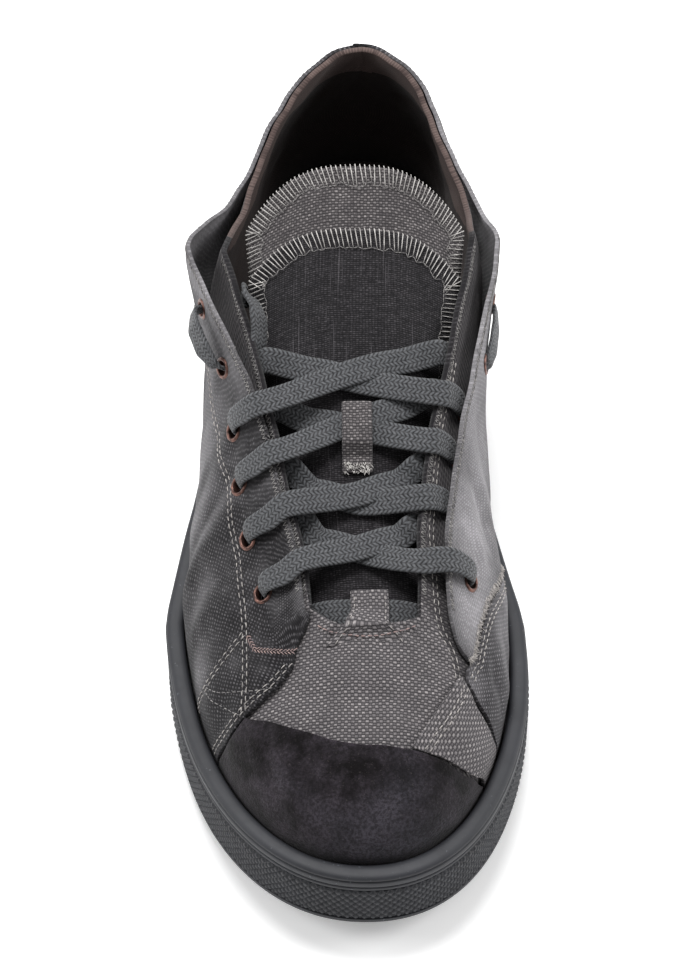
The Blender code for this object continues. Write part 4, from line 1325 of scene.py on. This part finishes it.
def patchPlace(c, r):
    s0, h0, s1, h1 = np.moveaxis(through(patchSides, r), -1, 0)
    return lerp(s0, s1, c), lerp(h0, h1, c) + 0.052 * 4 * c * (1 - c) * r * r


cutter = holeCutter()
shell = makeUpper()
outerQuarter = overlay("canvas_outer_quarter", outerQuarterPlace, 300, 74, quarterCloth, quarterFadeAndHighlight)
innerQuarter = overlay("canvas_inner_quarter", innerQuarterPlace, 280, 50, quarterCloth, quarterFadeAndHighlight)
for piece in (shell, outerQuarter, innerQuarter):
    cutBy(piece, cutter)
bpy.data.objects.remove(cutter)
colourCollar(shell, 11 * mm, 50 * mm)
give(shell, "washed_canvas", "upper")
give(outerQuarter, "washed_canvas", "outer_quarter")
give(innerQuarter, "washed_canvas", "inner_quarter")
print("sneaker: upper and quarters made")

toeCap = overlay(
    "suede_toe_cap", lambda c, r: cornerPlace((-0.2140, 0.1850), capTop, c, r), 150, 70, suede, capWash
)
give(toeCap, "black_suede", "toe_cap")
sidePanel = overlay(
    "dark_side_panel", lambda c, r: cornerPlace((0.2285, 0.4180), panelTop, c, r), 90, 50, panelCloth,
    panelFadeAndHighlight
)
give(sidePanel, "dark_canvas", "side_panel")
patch = overlay("vamp_patch_cloth", patchPlace, 50, 60, vampCloth, vampFadeAndHighlight)
give(patch, "washed_canvas", "vamp_patch")


# Tongues.
def makeTongue(name, rows, made, node, slotName):
    u, v = np.meshgrid(np.linspace(-1, 1, 90), np.linspace(0, 1, 120))
    ripple = 0.30 * np.sin(v * 17 + u * 2) * np.sin(u * 3.1 + 1) + 0.22 * np.sin(u * 9 + v * 5)
    points, _ = overTongue(rows, u, v, ripple * smooth((v - 0.3) / 0.4) * mm)
    fadeAndHighlight = 0.2 * smooth((v - 0.5) / 0.5)
    if node == "rear_tongue":
        fadeAndHighlight = 0.55 * smooth((v - 0.72) / 0.28) * (0.4 + 0.6 * np.cos(u * 1.3))
    piece = meshPiece(name, points, gridFaces(120, 90), [made], uv=clothUv(points), fadeAndHighlight=fadeAndHighlight + 0 * u)
    wall(piece, 1.6 * mm, -1)
    give(piece, slotName, node)


makeTongue("front_tongue_cloth", frontTongueRows, tongueCloth, "front_tongue", "dark_canvas")
makeTongue("rear_tongue_cloth", rearTongueRows, rearCloth, "rear_tongue", "washed_canvas")


# Overlocked edge of a tongue: threads over the edge, and a chain line at their feet.
overlock = {"pitch": 1.45, "deep": 5.6, "radius": 0.155, "slant": 0.9}


def makeOverlock(name, rows, slotName):
    left = np.stack([-np.ones(160), np.linspace(0.50, 0.985, 160)], axis=-1)
    top = np.stack([np.linspace(-1, 1, 400), np.ones(400)], axis=-1)
    right = left[::-1] * (-1, 1)
    uv = np.concatenate([left, top[1:-1], right])
    edge, normal = overTongue(rows, uv[:, 0], uv[:, 1], 0.0 * uv[:, 0])
    at = alongLine(edge, overlock["pitch"] * mm)
    point, out = readLine(edge, at), unit(readLine(normal, at))
    along = unit(readLine(np.gradient(edge, axis=0), at))
    inward = unit(np.cross(out, along))
    middle, _ = overTongue(rows, np.array([0.0]), np.array([0.6]), np.array([0.0]))
    inward = inward * np.sign(np.sum((middle - point) * inward, axis=-1))[:, None]
    paths = []
    deep = overlock["deep"] * (1 + chance.normal(0, 0.08, len(at))) * mm
    slant = (overlock["slant"] + chance.normal(0, 0.25, len(at))) * mm
    centre = readLine(uv, at)
    for share, lift in ((-0.06, -0.9), (-0.09, -0.1), (0.0, 0.62), (0.3, 0.42), (0.65, 0.40), (1.0, 0.18)):
        flatten = point + inward * (deep * share)[:, None] + along * (slant * share)[:, None]
        back = nearTongue(rows, flatten, centre)
        paths.append(back + out * lift * mm if share > 0 else flatten + out * lift * mm)
    paths = np.stack(paths, axis=1)
    loops = threads(name + "_loops", paths, out, overlock["radius"] * mm, whiteThread, sides=6)
    give(loops, slotName)
    feet = paths[:, -1]
    before, after, raised = feet[:-1], feet[1:], out[:-1] * 0.12 * mm
    chain = [
        before, lerp(before, after, 0.35) + raised, lerp(before, after, 0.65) + raised,
        lerp(before, after, 0.92)
    ]
    chain = np.stack(chain, axis=1)
    give(threads(name + "_chain", chain, out[:-1], 0.12 * mm, greyThread), slotName)


def nearTongue(rows, points, centre):
    # the points put back on the curved tongue: a few steps towards the surface
    u, v = centre[:, 0].copy(), centre[:, 1].copy()
    for _ in range(6):
        here = tonguePoint(rows, u, v)
        miss = points - here
        du = (tonguePoint(rows, u + 0.01, v) - here) / 0.01
        dv = (here - tonguePoint(rows, u, v - 0.01)) / 0.01
        aa, bb, ab = np.sum(du * du, -1), np.sum(dv * dv, -1), np.sum(du * dv, -1)
        ma, mb = np.sum(miss * du, -1), np.sum(miss * dv, -1)
        det = np.maximum(aa * bb - ab * ab, 1e-12)
        u = np.clip(u + (ma * bb - mb * ab) / det, -1, 1)
        v = np.clip(v + (mb * aa - ma * ab) / det, 0, 1)
    return tonguePoint(rows, u, v)


makeOverlock("front_tongue", frontTongueRows, "dark_canvas")
makeOverlock("rear_tongue", rearTongueRows, "washed_canvas")
print("sneaker: tongues made")


# Laces: flat ribbons through stops on the upper (s, h, height in mm) or on the front tongue
# (across, along, height in mm); the last number is the share of the full width there.
def placedStops(stops):
    found = []
    for k, (kind, a, b, lift, width) in enumerate(stops):
        steps = [(a, b, lift, width)]
        if k + 1 < len(stops) and stops[k + 1][0] == kind:
            after = stops[k + 1][1:]
            steps += [
                tuple(lerp(p, q, t) for p, q in zip((a, b, lift, width), after)) for t in (0.33, 0.67)
            ]
        for p, q, z, w in steps:
            if kind == "skin":
                point = skin(p, q) + skinNormal(p, q) * (z * mm)
                found.append((*point, *skinNormal(p, q), w))
            else:
                point, normal = overTongue(
                    frontTongueRows, np.array([p]), np.array([q]), np.array([z * mm])
                )
                found.append((*point[0], *normal[0], w))
    return np.array(found)


laceSize = {"width": 8.0, "thick": 1.3, "round": 14, "soften": 8}


def ribbon(name, rows, width, thick, made, count=90, soften=0):
    lengths = np.concatenate([[0], np.cumsum(np.linalg.norm(np.diff(rows[:, :3], axis=0), axis=1))])
    table = [(at, *row) for at, row in zip(lengths, rows)]
    line = through(table, np.linspace(0, lengths[-1], count))
    for _ in range(soften):
        line[1:-1, :6] = (line[:-2, :6] + 2 * line[1:-1, :6] + line[2:, :6]) / 4
    centre, face, wide = line[:, :3], unit(line[:, 3:6]), line[:, 6]
    run = np.concatenate([[0], np.cumsum(np.linalg.norm(np.diff(centre, axis=0), axis=1))])
    along = unit(np.gradient(centre, axis=0))
    side = unit(np.cross(along, face))
    up = np.cross(side, along)
    sides = laceSize["round"]
    turn = np.linspace(0, 2 * math.pi, sides, endpoint=False) + math.pi
    ca, sa = np.cos(turn), np.sin(turn)
    x = np.sign(ca) * np.abs(ca) ** 0.45 * width / 2
    z = np.sign(sa) * np.abs(sa) ** 0.75 * thick / 2
    across = side[:, None] * (x[None, :, None] * wide[:, None, None])
    points = centre[:, None] + across + up[:, None] * z[None, :, None]
    faces = np.array(gridFaces(count, sides, closed=True))[:, ::-1].tolist()
    faces.append(list(range(sides)))
    faces.append([(count - 1) * sides + k for k in reversed(range(sides))])
    u = np.broadcast_to(x / width + 0.5, (count, sides))
    uv = np.stack([u, np.broadcast_to(run[:, None] * 1000, (count, sides))], axis=-1)
    return meshPiece(name, points, faces, [made], uv=uv, sharp=0), centre, run[-1]


def laceRibbon(name, stops, nodes, count=90):
    width, thick = laceSize["width"] * mm, laceSize["thick"] * mm
    piece = ribbon(name, placedStops(stops), width, thick, lace, count, laceSize["soften"])[0]
    give(piece, "slate_lace", *nodes)


# One strand of a crossing: from its eyelet by five stops on the upper, over two on the tongue,
# and in beneath the far facing. Its widths as it leaves a rim, and as it leaves a plain hole.
broad, narrow = (0.42, 0.50, 0.86, 1.0, 1.0), (0.45, 0.8, 1.0, 1.0, 1.0)


def strandStops(widths, end, low, middle, start):
    stops = [("skin", *stop, wide) for stop, wide in zip(start, widths)]
    stops += [("tongue", *stop, 1.0) for stop in middle]
    beyond = end + math.copysign(0.001, end)
    return stops + [("skin", end, 1.0, -3.3, 1.0), ("skin", beyond, low, -3.3, 1.0)]


crossingRuns = (
    (
        (broad, 0.31, 0.94, ((0.06, 0.274, 2.7), (0.45, 0.305, 2.2)), (
            (-0.28, 0.712, -0.6), (-0.28, 0.728, 3.0), (-0.281, 0.775, 4.3),
            (-0.277, 0.9, 3.8), (-0.279, 1.0, 3.6),
        )),
        (broad, -0.317, 0.94, ((0.06, 0.262, 1.35), (-0.45, 0.3, 1.35)), (
            (0.297, 0.63, 1.0), (0.296, 0.65, 5.2), (0.294, 0.7, 6.5),
            (0.288, 0.84, 6.8), (0.281, 1.0, 2.4),
        )),
    ),
    (
        (broad, 0.366, 0.94, ((0.04, 0.4, 2.7), (0.45, 0.438, 2.2)), (
            (-0.327, 0.694, -0.6), (-0.327, 0.71, 3.0), (-0.328, 0.755, 4.3),
            (-0.324, 0.88, 3.8), (-0.326, 1.0, 3.6),
        )),
        (narrow, -0.363, 0.94, ((0.04, 0.382, 1.35), (-0.45, 0.42, 1.35)), (
            (0.344, 0.755, -0.5), (0.342, 0.8, 1.3), (0.339, 0.86, 1.4),
            (0.335, 0.94, 1.7), (0.331, 1.0, 2.3),
        )),
    ),
    (
        (broad, 0.44, 0.94, ((0.0, 0.568, 2.7), (0.45, 0.61, 2.2)), (
            (-0.372, 0.704, -0.6), (-0.372, 0.72, 3.0), (-0.374, 0.765, 4.3),
            (-0.371, 0.88, 4.0), (-0.373, 1.0, 3.8),
        )),
        (narrow, -0.42, 0.94, ((0.0, 0.557, 1.35), (-0.45, 0.583, 1.35)), (
            (0.392, 0.755, -0.5), (0.392, 0.8, 1.3), (0.392, 0.86, 1.4),
            (0.39, 0.94, 1.7), (0.388, 1.0, 2.3),
        )),
    ),
    (
        (broad, 0.475, 0.94, ((0.0, 0.683, 3.1), (0.45, 0.716, 2.2)), (
            (-0.42, 0.733, -0.2), (-0.42, 0.749, 3.8), (-0.422, 0.795, 5.3),
            (-0.417, 0.9, 5.8), (-0.418, 1.0, 5.2),
        )),
        (narrow, -0.465, 0.95, ((0.0, 0.667, 1.9), (-0.45, 0.7, 1.35)), (
            (0.44, 0.755, -0.5), (0.44, 0.8, 1.3), (0.44, 0.86, 1.4),
            (0.438, 0.94, 1.7), (0.435, 1.0, 2.4),
        )),
    ),
)
for number, strands in enumerate(crossingRuns, 1):
    for way, strand in zip(("over", "under"), strands):
        laceRibbon(f"lace_{way}_{number}", strandStops(*strand), [f"lace_crossing_{number}"])
laceRibbon("lace_base_bar", (
    ("tongue", -0.90, 0.130, 1.3, 1.0), ("tongue", -0.45, 0.125, 1.3, 1.0),
    ("tongue", 0.0, 0.120, 1.3, 1.0), ("tongue", 0.45, 0.125, 1.3, 1.0), ("tongue", 0.90, 0.130, 1.3, 1.0),
), ["lace_bar"])
laceRibbon("lace_outer_pass", (
    ("skin", -0.477, 0.790, 3.6, 0.42), ("skin", -0.478, 0.796, 7.2, 0.50),
    ("skin", -0.496, 0.80, 10.0, 0.92), ("skin", -0.518, 0.81, 11.2, 0.92),
    ("skin", -0.534, 0.82, 10.0, 0.55), ("skin", -0.537, 0.82, 6.6, 0.42),
), ["lace_pass_outer"], 60)
laceRibbon("lace_inner_pass", (
    ("skin", 0.492, 0.720, 2.6, 0.42), ("skin", 0.493, 0.716, 4.8, 0.6), ("skin", 0.510, 0.71, 5.6, 1.0),
    ("skin", 0.530, 0.72, 5.8, 1.0), ("skin", 0.545, 0.735, 5.2, 0.6), ("skin", 0.548, 0.74, 3.6, 0.42),
), ["lace_pass_inner"], 60)

# The tucked end of the lace, flat between facing and tongue: points in mm.
endRoute = (
    (-36.3, 21.5, 74.0),
    (-35.2, 24.0, 79.0),
    (-33.4, 23.8, 83.2),
    (-30.6, 20.5, 86.0),
    (-28.6, 15.5, 86.0),
    (-27.9, 9.5, 82.9),
    (-28.4, 5.5, 80.7),
    (-30.2, 3.2, 77.2),
    (-31.8, 0.8, 72.9),
    (-32.6, -2.8, 68.4),
    (-33.2, -7.0, 63.0),
    (-33.6, -11.0, 57.5),
)


def makeLaceEnd():
    facing = (0.82, -0.30, 0.48)
    rows = np.array([(x * mm + shoe["sideShift"], y * mm, z * mm, *facing, 1.0) for x, y, z in endRoute])
    piece, centre, length = ribbon(
        "lace_tucked_end", rows, laceSize["width"] * mm, laceSize["thick"] * mm, lace, 100
    )
    give(piece, "slate_lace", "lace_end")


makeLaceEnd()


# The loop on the tongue that holds the laces, and the tab at the throat.
def strip(name, stops, width, made, node, slotName):
    rows = placedStops(stops)
    piece = ribbon(name, rows, width, shoe["overlay"], made, 60)[0]
    layer = piece.data.uv_layers["cloth"].data
    values = np.empty(len(layer) * 2)
    layer.foreach_get("uv", values)
    values[0::2] *= width * 1000
    layer.foreach_set("uv", values)
    give(piece, slotName, *([node] if node else []))
    return piece


def edgeStitches(name, piece, made, radius, slotName):
    # a row of stitches just inside each long edge of a strip, read from its rings
    rings = np.array([corner.co for corner in piece.data.vertices]).reshape(-1, laceSize["round"], 3)
    up = unit(rings[:, 10] + rings[:, 11] - rings[:, 3] - rings[:, 4])
    paths, facing = [], []
    for k in (9, 12):
        line = rings[:, k]
        at = alongLine(line, 0.75 * mm)
        start, end = at[:-2:3], at[2::3]
        start = start[: len(end)]
        a, b, out = readLine(line, start), readLine(line, end[: len(start)]), unit(readLine(up, start))
        stops = ((0, -0.05), (0.3, 0.2), (0.7, 0.2), (1, -0.05))
        paths.append(np.stack([lerp(a, b, t) + out * lift * mm for t, lift in stops], axis=1))
        facing.append(out)
    give(threads(name, np.concatenate(paths), np.concatenate(facing), radius * mm, made), slotName)


strip("tongue_loop", (
    ("tongue", 0.03, 0.455, 0.95, 1.0), ("tongue", 0.03, 0.490, 1.8, 1.0),
    ("tongue", 0.03, 0.517, 5.0, 1.0),
    ("tongue", 0.03, 0.557, 5.4, 1.0), ("tongue", 0.03, 0.595, 5.0, 1.0),
    ("tongue", 0.03, 0.612, 3.6, 1.0),
), 9 * mm, rearCloth, "tongue_keeper", "dark_canvas")
tab = strip("throat_tab", (
    ("skin", 0.010, 0.93, -1.1, 1.9), ("skin", 0.010, 0.97, -0.2, 1.45), ("skin", 0.010, 1.0, 1.2, 1.05),
    ("tongue", 0.06, 0.120, 4.2, 0.85), ("tongue", 0.06, 0.165, 3.9, 0.85),
), 13 * mm, vampCloth, "vamp_tab", "washed_canvas")
edgeStitches("throat_tab_stitches", tab, paleThread, 0.17, "washed_canvas")
strip(
    "heel_seam_tape", tuple(("skin", 1.0, h, 1.15, 1.0) for h in (0.04, 0.30, 0.60, 0.85, 0.985)), 5 * mm,
    quarterCloth, None, "washed_canvas"
)
print("sneaker: laces made")


# Sewing: pale double rows on the quarters, the vamp and the inner seams. Rows are places
# (s, h); pitches and lengths in mm.
stitch = {"pitch": 2.55, "length": 1.75, "radius": 0.175, "pair": 1.5}


def pairRow(places, put, pitch=stitch["pitch"], length=stitch["length"], shift=0.0):
    half = stitch["pair"] / 2
    rows = []
    for side in (shift - half, shift + half):
        rows.append(stitchRow(places, pitch * mm, length * mm, 0.14 * mm, put, shift=side * mm))
    return rows


def zigzag(sFrom, sTo, high, low, put, pitch, lift=0.12):
    # slanting threads between two levels along an edge
    s = np.linspace(sFrom, sTo, 400)
    line = put(s, high(s), 0.0 * s)
    at = alongLine(line, pitch * mm)
    sAt = np.interp(at, np.arange(400), s)
    step = np.gradient(sAt)
    top = put(sAt, high(sAt), lift * mm + 0 * sAt)
    foot = put(sAt + step / 2, low(sAt), lift * mm + 0 * sAt)
    after = np.concatenate([top[1:], top[-1:]])
    normals = skinNormal(sAt, np.clip(high(sAt), 0, 1))
    down = np.stack([lerp(top, foot, t) for t in (0.0, 0.35, 0.7, 1.0)], axis=1)
    up = np.stack([lerp(foot, after, t) for t in (0.0, 0.35, 0.7, 1.0)], axis=1)[:-1]
    return np.concatenate([down, up]), np.concatenate([normals, normals[:-1]])


frontRow = [(float(through(outerFront, h)) - 0.0085, h) for h in (0.02, 0.15, 0.3, 0.45, 0.6, 0.74)]
outerRows = []
outerRows += pairRow(
    [
        (-0.430, 0.60), (-0.385, 0.640), (-0.342, 0.628), (-0.302, 0.61), (-0.267, 0.577), (-0.223, 0.49),
        (-0.196, 0.402)
    ],
    onQuarter
)
outerRows += pairRow([(-0.600, 0.66), (-0.54, 0.62), (-0.48, 0.60), (-0.430, 0.60)], onQuarter)
outerRows += pairRow(frontRow, onQuarter)
outerRows += pairRow([(-0.267, 0.577), (-0.266, 0.40), (-0.265, 0.217), (-0.268, 0.03)], onQuarter)
sewn("outer_seams", outerRows, paleThread, stitch["radius"] * mm)
crossRows = [
    stitchRow(places, 2.2 * mm, 1.5 * mm, 0.12 * mm, onQuarter)
    for places in (
        [(-0.265, 0.235), (-0.225, 0.43), (-0.176, 0.60)],
        [(-0.262, 0.225), (-0.230, 0.31), (-0.200, 0.385)],
    )
]
sewn("outer_cross_stitches", crossRows, greyThread, 0.15 * mm)
boxPlaces = [(-0.263, 0.592), (-0.215, 0.705), (-0.176, 0.790)]
boxRows = [
    stitchRow(boxPlaces, 1.15 * mm, 1.5 * mm, 0.14 * mm, onQuarter, tilt=tilt, shift=shift * mm)
    for tilt, shift in ((0.7, 0.4), (-0.7, -0.4))
]
sewn("outer_box_stitches", boxRows, pinkThread, 0.17 * mm)
throatRows = [
    stitchRow(
        [(-0.185, 0.945), (-0.10, 0.955), (0.0, 0.955), (0.10, 0.955), (0.20, 0.950)], 1.9 * mm, 1.4 * mm,
        0.55 * mm, onSkin
    )
]
sewn("throat_stitches", throatRows, pinkThread, 0.20 * mm)
innerRows = []
innerRows += pairRow(
    [
        (0.47, 0.945), (0.42, 0.935), (0.36, 0.925), (0.30, 0.905), (0.262, 0.87), (0.238, 0.78),
        (0.215, 0.68), (0.196, 0.60)
    ],
    onSkin
)
innerRows += pairRow(
    [(0.198, 0.560), (0.160, 0.545), (0.118, 0.520), (0.085, 0.475)], onQuarter, shift=0.2
)
sewn("inner_seams", innerRows, paleThread, stitch["radius"] * mm)
panelRow = [(s, float(through(panelTop, s)) - 0.035) for s in (0.215, 0.238, 0.27, 0.30, 0.33, 0.36)]
sewn("panel_seam", pairRow(panelRow, onQuarter, shift=-0.3), paleThread, 0.19 * mm)


def edgeZigzag(start, end, table, deep, pitch):
    # just inside a quarter's top edge
    def high(s):
        return through(table, np.abs(s)) - 0.006

    def low(s):
        return through(table, np.abs(s)) - deep

    return zigzag(start, end, high, low, onQuarter, pitch)


edgeRows = [
    zigzag(start, end, lambda s: 0 * s + 0.995, lambda s: 0 * s + 0.955, onSkin, 1.5)
    for start, end in ((-0.575, -0.262), (0.262, 0.575))
]
sewn("facing_edge_zigzag", edgeRows, greyThread, 0.17 * mm)
flapRows = [
    edgeZigzag(-0.640, -0.262, outerTop, 0.042, 1.35),
    edgeZigzag(0.262, 0.640, innerTop, 0.042, 1.35),
    edgeZigzag(-0.990, -0.640, outerTop, 0.036, 2.2),
    edgeZigzag(0.640, 0.990, innerTop, 0.036, 2.2),
]
sewn("quarter_edge_zigzag", flapRows, greyThread, 0.16 * mm)
print("sneaker: seams sewn")

# Frayed cloth: the folded edge on the inner side, the loop's end and the flaps' raw edges.
fray = {"foldCount": 420, "loopCount": 110, "edgeCount": 360, "radius": 0.085}


def frayed(name, anchor, facing, down, lengths, made, radius, slotName, spread=0.5):
    count = len(anchor)
    side = np.cross(facing, down)
    way = down + side * chance.normal(0, spread, count)[:, None]
    way = unit(way + facing * np.abs(chance.normal(0, 0.25, count))[:, None])
    curl = side * chance.normal(0, 0.35, count)[:, None]
    curl = curl + facing * chance.normal(0, 0.2, count)[:, None]
    stops = [
        anchor + way * (lengths * t)[:, None] + curl * (lengths * t * t)[:, None]
        for t in (0.0, 0.35, 0.7, 1.0)
    ]
    paths = np.stack(stops, axis=1)
    give(threads(name, paths, facing, radius * mm, made, sides=4, tips=0.25), slotName)


def frayAlong(name, s, h, dh, lift, lengths, made, radius, spread=0.5):
    h = h + chance.normal(0, 0.006, len(s))
    anchor = onQuarter(s, h, lift * mm + 0 * s)
    below = onQuarter(s, h + dh, lift * mm + 0 * s)
    frayed(
        name, anchor, skinNormal(s, np.clip(h, 0, 1)), unit(below - anchor), lengths * mm, made, radius,
        "washed_canvas", spread
    )


foldS = chance.uniform(0.240, 0.392, fray["foldCount"])
frayAlong(
    "frayed_fold", foldS, through(innerFold, foldS) + 0.012, -0.05, -0.25,
    chance.uniform(0.7, 2.3, len(foldS)), paleThread, 0.10, 0.9
)
foldS = np.linspace(0.239, 0.392, 230)
frayAlong(
    "folded_raw_edge", foldS, through(innerFold, foldS) + 0.020, -0.05, -0.05, 0 * foldS + 1.5, paleThread,
    0.15, 0.55
)
edgeS = np.concatenate(
    [
        -chance.uniform(0.27, 0.62, fray["edgeCount"] // 2),
        chance.uniform(0.27, 0.62, fray["edgeCount"] // 2)
    ]
)
edgeH = np.where(edgeS < 0, through(outerTop, -edgeS), through(innerTop, edgeS))
frayAlong(
    "frayed_flap_edges", edgeS, edgeH - 0.008, 0.05, -0.2, chance.uniform(0.4, 1.5, len(edgeS)),
    greyThread, 0.07, 0.8
)


def frayLoop():
    count = fray["loopCount"]
    u = 0.03 + chance.uniform(-0.135, 0.135, count)
    v = 0.462 + chance.uniform(-0.010, 0.016, count)
    point, normal = overTongue(frontTongueRows, u, v, 2.0 * mm + 0 * u)
    below, _ = overTongue(frontTongueRows, u, v - 0.02, 2.0 * mm + 0 * u)
    frayed(
        "frayed_loop_end", point, normal, unit(below - point), chance.uniform(0.5, 1.25, count) * mm,
        whiteThread, 0.13, "dark_canvas", 0.8
    )


frayLoop()
print("sneaker: frays made")


# Floor, soft studio light and a pale surrounding.
studio = {
    "floor": "#ffffff", "half": 6, "lift": 0.24, "world": 0.40, "top": 20.0, "left": 7.4, "right": 9.0,
    "front": 0.1
}


def makeStudio():
    # matt white paper, lifted a little so that it stays even under the soft lights
    made = newMaterial("pale studio floor", (), {
        "Base Color": linear(studio["floor"]),
        "Roughness": 0.85,
        "Emission Color": linear(studio["floor"]),
        "Emission Strength": studio["lift"],
    })
    mesh = bpy.data.meshes.new("floor")
    half = studio["half"]
    corners = [(-half, -half, 0), (half, -half, 0), (half, half, 0), (-half, half, 0)]
    mesh.from_pydata(corners, [], [(0, 1, 2, 3)])
    mesh.materials.append(made)
    inScene("floor", mesh)
    world = bpy.data.worlds.new("pale surround")
    world.use_nodes = True
    back = world.node_tree.nodes["Background"]
    back.inputs["Color"].default_value = (1.0, 1.0, 1.0, 1.0)
    back.inputs["Strength"].default_value = studio["world"]
    bpy.context.scene.world = world
    lamps = (
        ("top softbox", (-0.10, 0.42, 1.35), (0, 0, 0.03), 0.6, studio["top"]),
        ("left softbox", (-1.2, 0.1, 0.7), (0, 0, 0.05), 0.7, studio["left"]),
        ("right softbox", (1.2, 0.2, 0.7), (0, 0, 0.05), 0.7, studio["right"]),
        ("front softbox", (0.0, -1.3, 0.6), (0, -0.05, 0.04), 0.8, studio["front"]),
    )
    for name, place, aim, size, power in lamps:
        data = bpy.data.lights.new(name, "AREA")
        data.shape = "DISK"
        data.size = size
        data.energy = power
        aimed(inScene(name, data), place, aim)


makeStudio()
bpy.context.scene.view_settings.view_transform = "Standard"

print("sneaker: scene ready")
